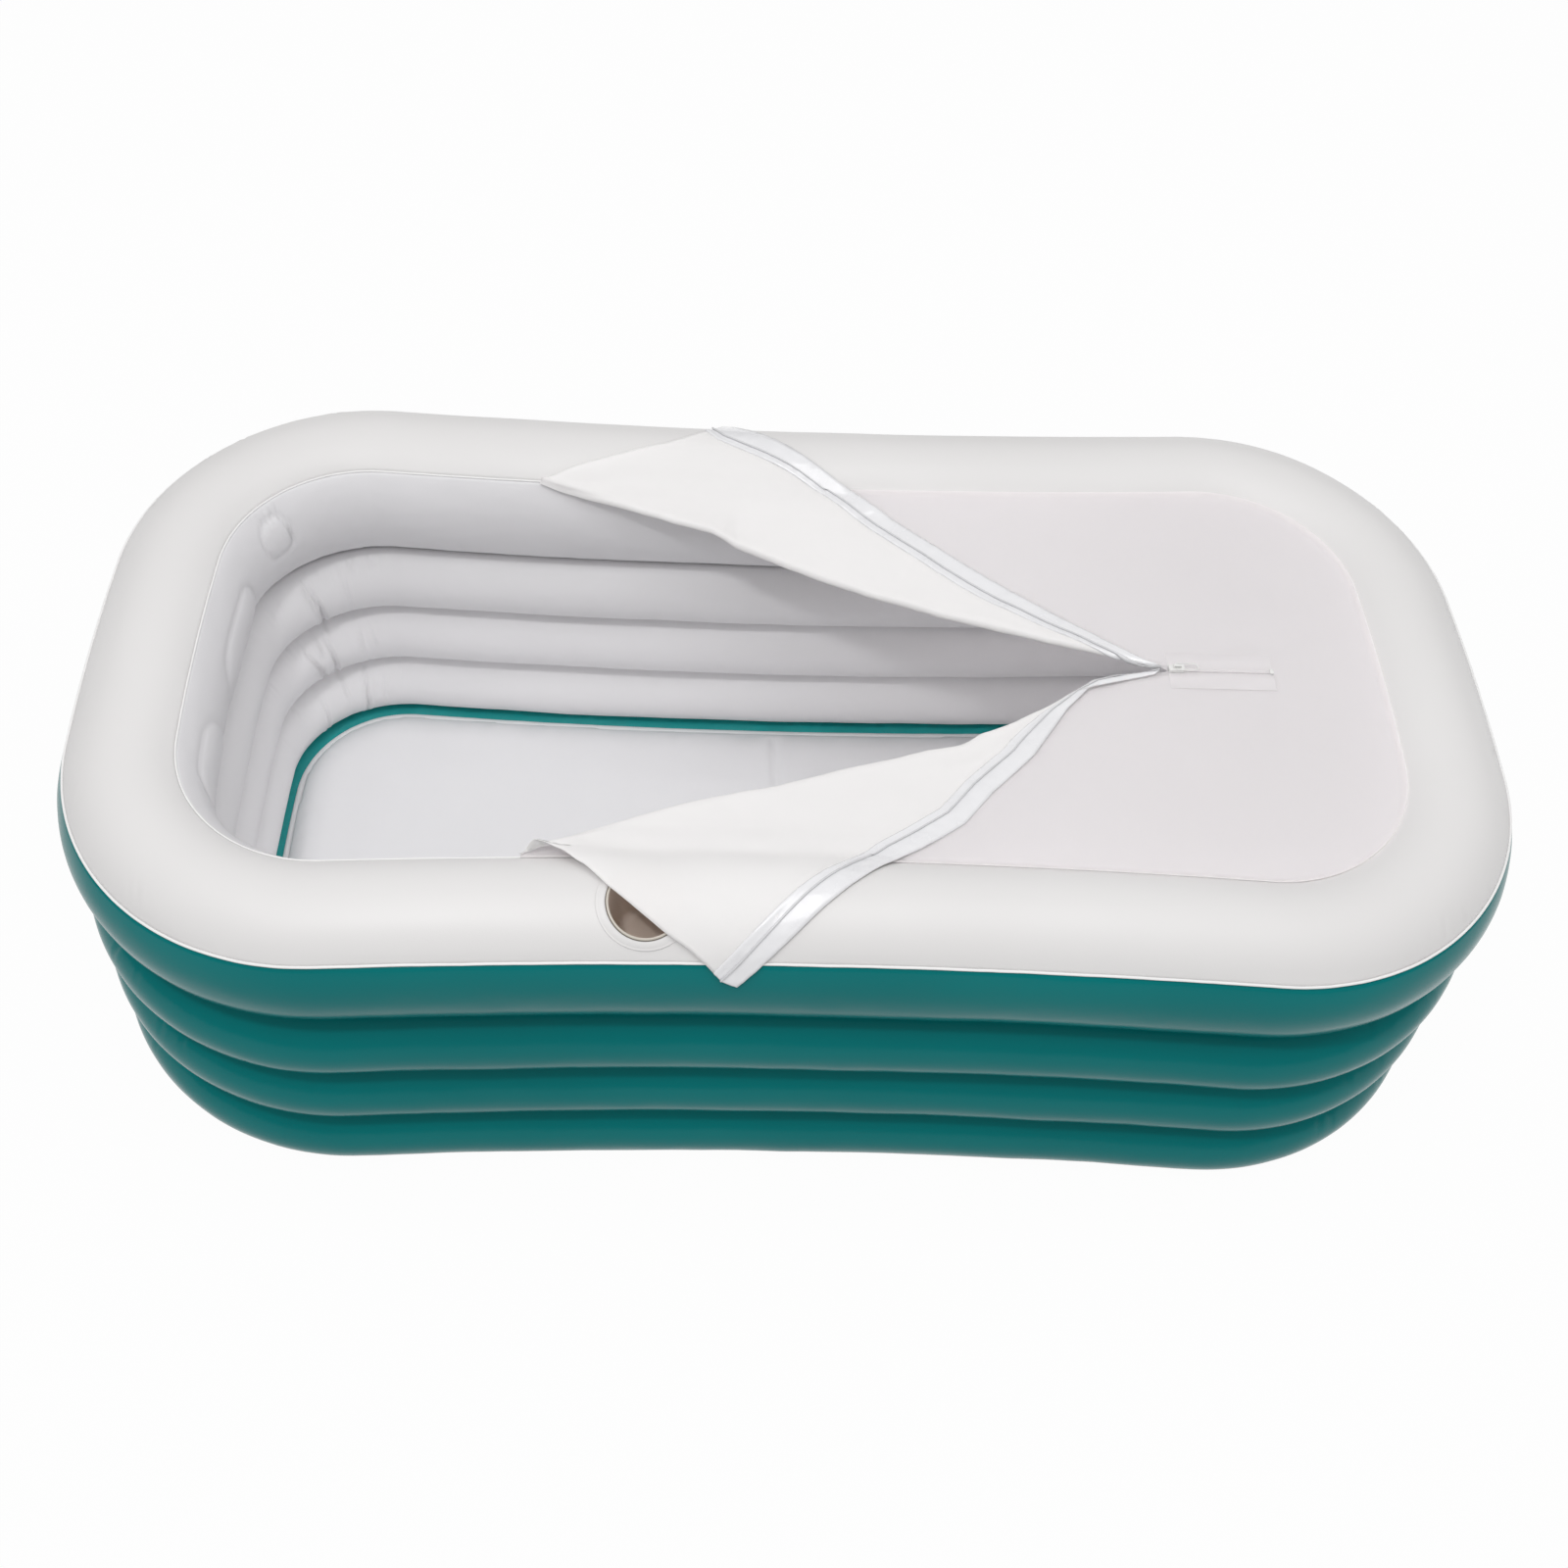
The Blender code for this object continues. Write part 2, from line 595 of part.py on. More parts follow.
def build_closed_zip():
    """Tapes and rails of the part of the zip that is still closed, and its end stop."""
    low, tape_top, rail_top = zip_levels()
    rail_end = ZIP_END - STOP_LENGTH - GAP
    for name, side in (("back", 1), ("front", -1)):
        inner, outer = side * GAP / 2, side * (GAP / 2 + CLOSED_TAPE_WIDTH)
        rail = side * (GAP / 2 + RAIL_WIDTH)
        box(f"closed_tape_{name}", (SLIDER_START, min(inner, outer), low),
            (ZIP_END, max(inner, outer), tape_top), "clear")
        box(f"closed_rail_{name}", (SLIDER_START, min(inner, rail), tape_top + GAP),
            (rail_end, max(inner, rail), rail_top), "clear")
    half = RAIL_WIDTH + STOP_OVERHANG
    box("zip_end_stop", (ZIP_END - STOP_LENGTH, -half, tape_top + GAP),
        (ZIP_END, half, rail_top), "plastic")


def build_slider():
    """Saddle that rides on the closed rails, with a bridge that holds the pull loop."""
    _, tape_top, rail_top = zip_levels()
    inner = GAP / 2 + RAIL_WIDTH + SLIDER_CLEARANCE
    outer = inner + SLIDER_WALL
    foot = tape_top + SLIDER_CLEARANCE
    roof = rail_top + SLIDER_CLEARANCE
    top = roof + SLIDER_ROOF
    start, end = SLIDER_START, SLIDER_START + SLIDER_LENGTH
    body = box("zip_slider", (start, -outer, foot), (end, outer, top), "plastic")
    bevel = body.modifiers.new("edges", 'BEVEL')
    bevel.width = SLIDER_WALL / 4
    bevel.segments = 1
    groove = box("slider_groove", (start - CUT_OVERRUN, -inner, foot - CUT_OVERRUN),
                 (end + CUT_OVERRUN, inner, roof))
    cut(body, groove)
    middle = (start + end) / 2
    half_length, half_width = BRIDGE_LENGTH / 2, BRIDGE_WIDTH / 2
    bridge = box("slider_bridge", (middle - half_length, -half_width, top - SLIDER_ROOF / 2),
                 (middle + half_length, half_width, top + BRIDGE_HEIGHT))
    window = box("bridge_window", (middle - half_length + BRIDGE_WALL, -half_width - CUT_OVERRUN,
                                   top + SLIDER_CLEARANCE),
                 (middle + half_length - BRIDGE_WALL, half_width + CUT_OVERRUN,
                  top + BRIDGE_HEIGHT - BRIDGE_WALL))
    join(body, bridge)
    cut(body, window)
    build_pull((middle, 0, top + (BRIDGE_HEIGHT - BRIDGE_WALL) / 2))


def build_pull(hinge):
    """Wire loop that lies back from the bridge, its near end on the hinge line."""
    half = PULL_WIDTH / 2
    round_radius = half - PULL_WIRE_RADIUS
    far = PULL_LENGTH - round_radius
    outline = [(0, -round_radius), (far, -round_radius)]
    for step in range(1, 8):
        turn = math.pi * (step / 8 - 0.5)
        outline.append((far + round_radius * math.cos(turn), round_radius * math.sin(turn)))
    outline += [(far, round_radius), (0, round_radius)]
    curve = bpy.data.curves.new("pull_path", 'CURVE')
    curve.dimensions = '3D'
    curve.bevel_depth = PULL_WIRE_RADIUS
    curve.bevel_resolution = 2
    path = curve.splines.new('POLY')
    path.points.add(len(outline) - 1)
    for point, (x, y) in zip(path.points, outline):
        point.co = (x, y, 0, 1)
    path.use_cyclic_u = True
    guide = bpy.data.objects.new("pull_path", curve)
    collection("cutters").objects.link(guide)
    mesh = bpy.data.meshes.new_from_object(guide.evaluated_get(
        bpy.context.evaluated_depsgraph_get()))
    bpy.data.objects.remove(guide, do_unlink=True)
    bm = bmesh.new()
    bm.from_mesh(mesh)
    bmesh.ops.remove_doubles(bm, verts=bm.verts, dist=MERGE)
    bmesh.ops.recalc_face_normals(bm, faces=bm.faces)
    bmesh.ops.transform(bm, matrix=Matrix.Translation(hinge), verts=bm.verts)
    to_object("pull_loop", bm, "plastic", hinge)


def cup_loop(radius, lift=0, rise=0):
    """Closed loop round the cup's middle, laid on the rim's film, then raised straight up."""
    loop = []
    for step in range(CUP_SIDES):
        turn = math.tau * step / CUP_SIDES
        run = CUP_RUN + radius * math.sin(turn)
        offset, height = rim_point(rim_angle(run), lift)
        loop.append(long_side(CUP_X + radius * math.cos(turn), offset, height + rise, -1))
    return loop


def loft(bm, loops, closed=False):
    """Skin closed loops of equal count, one after another, and the last to the first if closed."""
    rows = [[bm.verts.new(point) for point in loop] for loop in loops]
    for row in rows:
        for near, far in zip(row, row[1:] + row[:1]):
            bm.edges.new((near, far))
    for near, far in zip(rows, rows[1:] + rows[:1] if closed else rows[1:]):
        ring = [e for e in bm.edges if all(v in near or v in far for v in e.verts)]
        bmesh.ops.bridge_loops(bm, edges=ring)
    return rows


def build_cup_holder(rim):
    """Cup let into the rim, the film ring that welds it in and the lip over its edge."""
    angle = rim_angle(CUP_RUN)
    offset, height = rim_point(angle)
    middle = long_side(CUP_X, offset, height, -1)
    top_lift = FILM / 2 + GAP + CUP_RING_THICKNESS
    top = cup_loop(CUP_RADIUS, rise=top_lift)
    bottom = []
    for step in range(CUP_SIDES):
        turn = math.tau * step / CUP_SIDES
        reach = CUP_RADIUS - CUP_TAPER
        bottom.append(Vector((middle.x + reach * math.cos(turn),
                              middle.y - reach * math.sin(turn), middle.z - CUP_DEPTH)))
    bm = bmesh.new()
    loft(bm, [top, bottom])
    bmesh.ops.holes_fill(bm, edges=[e for e in bm.edges if e.is_boundary
                                    and e.verts[0].co.z < middle.z - CUP_DEPTH / 2
                                    and e.verts[1].co.z < middle.z - CUP_DEPTH / 2], sides=0)
    bmesh.ops.recalc_face_normals(bm, faces=bm.faces)
    thicken(to_object("cup_holder", bm, "brown"), CUP_WALL)
    ring = bmesh.new()
    lift = FILM / 2 + GAP + CUP_RING_THICKNESS / 2
    inner = CUP_RADIUS + CUP_WALL + 2 * GAP
    loft(ring, [cup_loop(CUP_RING_RADIUS, lift), cup_loop((inner + CUP_RING_RADIUS) / 2, lift),
                cup_loop(inner, lift)])
    bmesh.ops.recalc_face_normals(ring, faces=ring.faces)
    thicken(to_object("cup_holder_ring", ring, "white"), CUP_RING_THICKNESS)
    build_cup_lip(top_lift + GAP)
    hole = bmesh.new()
    rows = loft(hole, [cup_loop(inner, rise=CUT_OVERRUN), cup_loop(inner, rise=-CUT_OVERRUN)])
    for row in rows:
        hole.faces.new(row)
    bmesh.ops.recalc_face_normals(hole, faces=hole.faces)
    cut(rim, to_object("cup_hole", hole))


def build_cup_lip(low):
    """Flat lip over the cup's edge, from a height above the rim's film."""
    high = low + CUP_LIP_THICKNESS
    near, far = CUP_RADIUS - CUP_WALL / 2, CUP_LIP_RADIUS
    lip = bmesh.new()
    loft(lip, [cup_loop(far, low), cup_loop(far, high), cup_loop(near, high),
               cup_loop(near, low)], closed=True)
    bmesh.ops.recalc_face_normals(lip, faces=lip.faces)
    to_object("cup_lip", lip, "beige")


def facing(direction, place):
    """Matrix whose Z points along direction, at a place."""
    turn = Vector((0, 0, 1)).rotation_difference(Vector(direction)).to_matrix().to_4x4()
    return Matrix.Translation(place) @ turn


def build_valve(name, place, direction, host):
    """Recessed valve cup with a lip, and its push-in plug. Heights are from the film's face."""
    matrix = facing(direction, place)
    low, high = GAP, GAP + VALVE_LIP
    cup = [(VALVE_BORE, high), (VALVE_LIP_RADIUS, high), (VALVE_LIP_RADIUS, low),
           (VALVE_RADIUS, low), (VALVE_RADIUS, -VALVE_DEPTH), (VALVE_AIR_HOLE, -VALVE_DEPTH),
           (VALVE_AIR_HOLE, VALVE_FLOOR - VALVE_DEPTH), (VALVE_BORE, VALVE_FLOOR - VALVE_DEPTH)]
    turned(name + "_body", cup, matrix, "plastic", closed=True)
    seat = matrix @ Matrix.Translation((0, 0, high))
    stopper(name + "_plug", seat, VALVE_BORE, VALVE_PLUG_LENGTH, VALVE_PLUG_RADIUS)
    depth = VALVE_DEPTH + GAP
    hole = matrix @ Matrix.Translation((0, 0, (CUT_OVERRUN - depth) / 2))
    cut(host, cylinder(name + "_hole", VALVE_RADIUS + GAP, depth + CUT_OVERRUN, hole))


def build_drain(walls):
    """Drain sleeve through the lowest ring, with a plug inside and a cap outside."""
    height = RING_PITCH / 2
    face = RING_REACH + FILM / 2 + GAP
    matrix = facing((1, 0, 0), (MID_HALF_LENGTH, 0, height))
    end = face + DRAIN_FLANGE
    sleeve = [(DRAIN_BORE, end), (DRAIN_FLANGE_RADIUS, end), (DRAIN_FLANGE_RADIUS, face),
              (DRAIN_RADIUS, face), (DRAIN_RADIUS, -face), (DRAIN_FLANGE_RADIUS, -face),
              (DRAIN_FLANGE_RADIUS, -end), (DRAIN_BORE, -end)]
    turned("drain_sleeve", sleeve, matrix, "plastic", closed=True)
    for name, direction in (("drain_cap", 1), ("drain_plug", -1)):
        place = (MID_HALF_LENGTH + direction * end, 0, height)
        stopper(name, facing((direction, 0, 0), place), DRAIN_BORE, DRAIN_PLUG_LENGTH,
                DRAIN_PLUG_RADIUS)
    for wall in walls:
        cut(wall, cylinder(wall.name + "_drain_hole", DRAIN_RADIUS + GAP, 2 * (end + CUT_OVERRUN),
                           matrix))


def stopper(name, seat, bore, length, radius):
    """Push-in plug with a grip, its head on the face at the seat's origin."""
    shank, top = bore - GAP, GAP + PLUG_HEAD
    profile = [(0, top + PLUG_GRIP), (PLUG_GRIP_RADIUS, top + PLUG_GRIP),
               (PLUG_GRIP_RADIUS, top), (radius - PLUG_HEAD / 2, top),
               (radius, GAP + PLUG_HEAD / 2), (radius, GAP), (shank, GAP),
               (shank, GAP - length / 2), (shank - GAP, GAP - length), (0, GAP - length)]
    turned(name, profile, seat, "plastic")


def main():
    """Build every piece of the tub."""
    clear_scene()
    wall = build_wall()
    build_webs()
    build_seams()
    build_base()
    cushion = build_floor()
    build_cover()
    build_flap("back_flap", 1)
    build_flap("front_flap", -1)
    build_closed_zip()
    build_slider()
    build_cup_holder(wall["top_rim"])
    valve_height = (LOWER_RINGS - 0.5) * RING_PITCH
    build_valve("wall_valve", (-HALF_LENGTH - FILM / 2, 0, valve_height), (-1, 0, 0),
                wall["outer_wall"])
    build_valve("floor_valve", (FLOOR_VALVE_X, 0, FLOOR_CROWN_HEIGHT), (0, 0, 1), cushion)
    build_drain((wall["outer_wall"], wall["inner_wall"]))


if __name__ == "__main__":
    main()
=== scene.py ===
"""Inflatable bathtub: the films, floor pad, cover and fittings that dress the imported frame.

X runs along the tub with the open head end at -X, Y runs across it with the back at +Y, and the
floor it stands on is Z = 0. All sizes are in metres.
"""
import json
import logging
import math
from dataclasses import dataclass, replace
from enum import Enum
from functools import cached_property
from typing import Callable, Iterable, Optional, Sequence

import bmesh
import bpy
import numpy as np
from mathutils import Matrix, Vector, noise

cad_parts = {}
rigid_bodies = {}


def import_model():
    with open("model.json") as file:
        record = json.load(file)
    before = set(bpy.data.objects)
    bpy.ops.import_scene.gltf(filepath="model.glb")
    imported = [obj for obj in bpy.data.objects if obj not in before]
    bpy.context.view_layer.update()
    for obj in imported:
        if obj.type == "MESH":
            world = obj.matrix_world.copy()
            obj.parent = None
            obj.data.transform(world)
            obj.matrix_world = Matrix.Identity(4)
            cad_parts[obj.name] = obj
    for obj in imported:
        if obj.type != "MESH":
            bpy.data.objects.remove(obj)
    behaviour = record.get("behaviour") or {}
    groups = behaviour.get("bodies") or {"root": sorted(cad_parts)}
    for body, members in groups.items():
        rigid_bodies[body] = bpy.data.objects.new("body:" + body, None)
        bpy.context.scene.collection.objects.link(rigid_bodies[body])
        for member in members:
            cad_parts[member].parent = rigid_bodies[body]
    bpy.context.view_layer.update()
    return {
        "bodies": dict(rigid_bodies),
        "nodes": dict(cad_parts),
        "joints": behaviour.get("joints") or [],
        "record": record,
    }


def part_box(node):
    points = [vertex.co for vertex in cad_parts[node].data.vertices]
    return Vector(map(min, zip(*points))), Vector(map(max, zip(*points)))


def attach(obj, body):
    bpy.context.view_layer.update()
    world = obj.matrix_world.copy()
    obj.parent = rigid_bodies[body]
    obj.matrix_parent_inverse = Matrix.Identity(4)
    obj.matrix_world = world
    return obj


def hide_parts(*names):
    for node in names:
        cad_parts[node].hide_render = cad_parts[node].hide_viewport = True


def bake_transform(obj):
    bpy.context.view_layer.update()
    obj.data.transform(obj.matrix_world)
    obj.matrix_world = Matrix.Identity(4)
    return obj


LOG = logging.getLogger("bathtub")
Colour = tuple[float, float, float]
Pair = tuple[float, float]
Field = Callable[[Vector], float]
Mesh = bmesh.types.BMesh
Piece = bpy.types.Object
Node = bpy.types.Node
Socket = bpy.types.NodeSocket
Tree = bpy.types.NodeTree
MERGE = 0.00005
TUB = "tub"
UP = Vector((0, 0, 1))


class Slot(Enum):
    """Material slots of the part's record."""
    TEAL = "teal_film"
    WHITE = "white_film"
    INNER = "inner_film"
    FLOOR = "floor_film"
    COVER = "cover_film"
    TAPE = "clear_tape"
    LIP = "beige_lip"
    CUP = "brown_cup"
    PLASTIC = "white_plastic"


# Shader groups and finishes


def set_inputs(tree: Tree, node: Node, inputs: dict) -> Node:
    """Fill a node's inputs, given by name or number, each with a socket or a value.

    Args:
        tree: tree of the node.
        node: the node.
        inputs: a socket or a value for each input.

    Returns:
        The node.
    """
    for key, value in inputs.items():
        if isinstance(value, Socket):
            tree.links.new(value, node.inputs[key])
        else:
            node.inputs[key].default_value = value
    return node


def add_node(tree: Tree, kind: str, inputs: Optional[dict] = None, **settings) -> Node:
    """Add a shader node.

    Args:
        tree: tree that takes the node.
        kind: its type, without "ShaderNode".
        inputs: a socket or a value for each input.
        settings: its own properties.

    Returns:
        The node.
    """
    node = tree.nodes.new('ShaderNode' + kind)
    for name, value in settings.items():
        setattr(node, name, value)
    return set_inputs(tree, node, inputs or {})


def maths(tree: Tree, operation: str, *values) -> Socket:
    """Add a Math node whose inputs are sockets or numbers, and give its output."""
    return add_node(tree, 'Math', dict(enumerate(values)), operation=operation).outputs[0]


def blend_shaders(tree: Tree, share, first: Node, second: Node,
                  output: str = "Material Output") -> None:
    """Show two shaders on a tree's output, the second one by a share."""
    blend = add_node(tree, 'MixShader', {0: share, 1: first.outputs[0], 2: second.outputs[0]})
    tree.links.new(blend.outputs[0], tree.nodes[output].inputs['Surface'])


def group_tree(name: str, inputs: dict, outputs: Sequence[str]) -> tuple:
    """Start a shader node group that reads Object coordinates.

    Args:
        name: name of the group.
        inputs: default of each input, a number or a colour.
        outputs: names of the outputs, of which "Color" is a colour.

    Returns:
        The tree, its inputs' sockets, its output node and the socket of the place.
    """
    kinds = ('NodeSocketFloat', 'NodeSocketColor')
    tree = bpy.data.node_groups.new(name, 'ShaderNodeTree')
    for label, value in inputs.items():
        kind = kinds[isinstance(value, tuple)]
        tree.interface.new_socket(label, in_out='INPUT', socket_type=kind).default_value = value
    for label in outputs:
        tree.interface.new_socket(label, in_out='OUTPUT', socket_type=kinds[label == "Color"])
    return (tree, tree.nodes.new('NodeGroupInput').outputs, tree.nodes.new('NodeGroupOutput'),
            add_node(tree, 'TexCoord').outputs['Object'])


def film_grain_group() -> Tree:
    """Build the group that gives a film's fine emboss and shallow ripples as a height.

    Returns:
        The group's tree.
    """
    tree, inside, out, place = group_tree("film_grain", {
        "Grain Scale": 900.0, "Grain": 0.5, "Ripple Scale": 24.0, "Ripple": 0.5}, ("Height",))
    parts = []
    for name, detail in (("Grain", 2.0), ("Ripple", 3.0)):
        cloud = add_node(tree, 'TexNoise', {
            'Vector': place, 'Scale': inside[name + " Scale"], 'Detail': detail})
        parts.append(maths(tree, 'MULTIPLY', cloud.outputs[0], inside[name]))
    set_inputs(tree, out, {"Height": maths(tree, 'ADD', *parts)})
    return tree


def film_tone_group() -> Tree:
    """Build the group that varies a film's colour in soft clouds and gives their mask.

    Returns:
        The group's tree.
    """
    tree, inside, out, place = group_tree("film_tone", {
        "Base": (0.8, 0.8, 0.8, 1), "Tint": (0.7, 0.7, 0.7, 1), "Scale": 5.0, "Amount": 0.5},
        ("Color", "Mask"))
    cloud = add_node(tree, 'TexNoise', {'Vector': place, 'Scale': inside["Scale"], 'Detail': 4.0})
    mask = add_node(tree, 'MapRange', {
        'Value': cloud.outputs[0], 'From Min': 0.32, 'From Max': 0.68}).outputs['Result']
    tinted = add_node(tree, 'Mix', {
        'Factor': maths(tree, 'MULTIPLY', mask, inside["Amount"]),
        'A': inside["Base"], 'B': inside["Tint"]}, data_type='RGBA')
    set_inputs(tree, out, {"Color": tinted.outputs['Result'], "Mask": mask})
    return tree


def shared_group(name: str, builder: Callable[[], Tree]) -> Tree:
    """Give a node group, built the first time it is asked for."""
    return bpy.data.node_groups.get(name) or builder()


@dataclass(frozen=True)
class Finish:
    """A film or plastic: its colours, gloss and relief."""
    name: str
    colour: Colour
    tint: Colour
    roughness: float
    roughness_spread: float = 0.08
    specular: float = 0.5
    tone_scale: float = 5.0
    tone_amount: float = 0.5
    grain_scale: float = 900.0
    grain: float = 0.35
    ripple_scale: float = 24.0
    ripple: float = 0.6
    bump_distance: float = 0.0004
    bump_strength: float = 0.5
    coat: float = 0.0
    coat_roughness: float = 0.15
    through: float = 0.0

    def material(self) -> bpy.types.Material:
        """Build the finish's material once.

        Returns:
            The material.
        """
        found = bpy.data.materials.get(self.name)
        if found is not None:
            return found
        material = bpy.data.materials.new(self.name)
        material.use_nodes = True
        tree = material.node_tree
        tone = add_node(tree, 'Group', {
            "Base": (*self.colour, 1), "Tint": (*self.tint, 1), "Scale": self.tone_scale,
            "Amount": self.tone_amount},
            node_tree=shared_group("film_tone", film_tone_group)).outputs
        grain = add_node(tree, 'Group', {
            "Grain Scale": self.grain_scale, "Grain": self.grain,
            "Ripple Scale": self.ripple_scale, "Ripple": self.ripple},
            node_tree=shared_group("film_grain", film_grain_group))
        gloss = add_node(tree, 'MapRange', {
            'Value': tone["Mask"], 'To Min': self.roughness - self.roughness_spread / 2,
            'To Max': self.roughness + self.roughness_spread / 2})
        bump = add_node(tree, 'Bump', {
            'Strength': self.bump_strength, 'Distance': self.bump_distance,
            'Height': grain.outputs["Height"]})
        shader = set_inputs(tree, tree.nodes["Principled BSDF"], {
            'Base Color': tone["Color"], 'Roughness': gloss.outputs['Result'],
            'Normal': bump.outputs['Normal'], 'Specular IOR Level': self.specular,
            'Coat Weight': self.coat, 'Coat Roughness': self.coat_roughness})
        if self.through:
            milky = add_node(tree, 'BsdfTranslucent', {'Color': tone["Color"]})
            blend_shaders(tree, self.through, shader, milky)
        return material


TEAL = Finish("teal_pvc_film", (0.001, 0.188, 0.190), (0.001, 0.164, 0.168), 0.22, 0.06, 0.14, 4.0,
              ripple_scale=30, ripple=0.9)
# The teal base film again for the visible border strip, painted about twice as light: painted light
# and painted sheen on the strip that faces up.
TEAL_BORDER_PAINTED_LIGHT = Finish("teal_border_painted_lighter", (0.008, 0.370, 0.365), (0.006, 0.320, 0.320), 0.34,
                   tone_scale=30, ripple_scale=90, ripple=1.2, bump_strength=0.6)
WHITE = Finish("white_pvc_film", (0.780, 0.768, 0.764), (0.740, 0.726, 0.722), 0.46,
               tone_scale=3.0, tone_amount=0.6, ripple=0.5)
PIPING = Finish("white_piping_film", (0.900, 0.895, 0.890), (0.870, 0.865, 0.860), 0.36,
                tone_scale=12)
INNER = Finish("inner_pvc_film", (0.775, 0.766, 0.782), (0.755, 0.746, 0.762), 0.44,
               tone_scale=6.0, tone_amount=0.6, ripple=0.8)
# Lighter copies of the inner film for the three lower rings, lightest at the floor: painted light
# that brightens the inner wall downwards.
INNER_RINGS_PAINTED_LIGHT = tuple(replace(INNER, name=f"inner_pvc_film_{number}", colour=colour, tint=tint)
                    for number, colour, tint in (
                        (3, (0.870, 0.860, 0.874), (0.850, 0.840, 0.855)),
                        (2, (0.935, 0.924, 0.938), (0.915, 0.904, 0.918)),
                        (1, (0.975, 0.966, 0.978), (0.965, 0.956, 0.968))))
FLOOR = Finish("floor_pad_film", (0.900, 0.898, 0.910), (0.880, 0.878, 0.892), 0.5,
               tone_scale=7.0, ripple_scale=16, ripple=1.4)
COVER = Finish("soft_cover_film", (0.985, 0.968, 0.972), (0.975, 0.957, 0.962), 0.62, 0.05, 0.35,
               grain_scale=1400, grain=0.6, through=0.62)
FLAP = Finish("soft_flap_film", (0.985, 0.975, 0.972), (0.975, 0.965, 0.962), 0.58, 0.05, 0.4,
              grain_scale=1400, grain=0.6, through=0.30)
TAPE = Finish("milky_zip_tape", (0.870, 0.868, 0.885), (0.790, 0.788, 0.808), 0.24, 0.12, 0.6, 40,
              ripple_scale=160, ripple=1.2, grain=0.2, coat=0.5, coat_roughness=0.08)
CLOSED_TAPE = Finish("milky_zip_tape_closed", (0.955, 0.938, 0.944), (0.940, 0.924, 0.930), 0.55,
                     specular=0.35, tone_scale=20, through=0.5)
RAIL = Finish("zip_rail_plastic", (0.690, 0.690, 0.705), (0.600, 0.600, 0.615), 0.24,
              specular=0.6, tone_scale=60, coat=0.3)
LIP = Finish("beige_lip_film", (0.620, 0.580, 0.510), (0.560, 0.520, 0.455), 0.36, tone_scale=40)
LIP_EDGE = Finish("brown_lip_edge", (0.150, 0.125, 0.100), (0.120, 0.100, 0.080), 0.45,
                  tone_scale=40)
CUP = Finish("brown_cup_film", (0.720, 0.615, 0.540), (0.670, 0.570, 0.495), 0.48,
             tone_scale=16, ripple_scale=60, ripple=1.0)
PLASTIC = Finish("white_moulded_plastic", (0.830, 0.830, 0.815), (0.790, 0.790, 0.775), 0.33, 0.06,
                 tone_scale=60, grain_scale=2200, grain=0.3, ripple=0.1)
WEB = Finish("web_film", (0.60, 0.60, 0.63), (0.56, 0.56, 0.60), 0.5)


# Plan and section of the wall


def smooth(low: float, high: float, value: float) -> float:
    """Ease from 0 at low to 1 at high."""
    share = min(max((value - low) / (high - low), 0.0), 1.0)
    return share * share * (3 - 2 * share)


def mix(near: float, far: float, share: float) -> float:
    """Weighted mean of two numbers."""
    return near + (far - near) * share


def way(turn: float) -> Vector:
    """Unit vector of the plan at an angle from X."""
    return Vector((math.cos(turn), math.sin(turn)))


def outline(bm: Mesh, points: Iterable[Sequence[float]], closed: bool) -> list:
    """Draw a line through points, and give its vertices and edges.

    Args:
        bm: bmesh that takes the line.
        points: its points.
        closed: whether the last one joins the first.

    Returns:
        Its vertices, then its edges.
    """
    verts = [bm.verts.new(point) for point in points]
    edges = [bm.edges.new(pair) for pair in zip(verts, verts[1:])]
    if closed:
        edges.append(bm.edges.new((verts[-1], verts[0])))
    return verts + edges


def merged(bm: Mesh) -> Mesh:
    """Merge a mesh's doubles and turn its normals one way.

    Args:
        bm: the mesh.

    Returns:
        The same mesh.
    """
    bmesh.ops.remove_doubles(bm, verts=bm.verts, dist=MERGE)
    bmesh.ops.recalc_face_normals(bm, faces=bm.faces)
    return bm


@dataclass(frozen=True)
class Spot:
    """A place beside the wall: run along its quarter, lap round the tub, offset outwards."""
    run: float
    lap: float
    offset: float


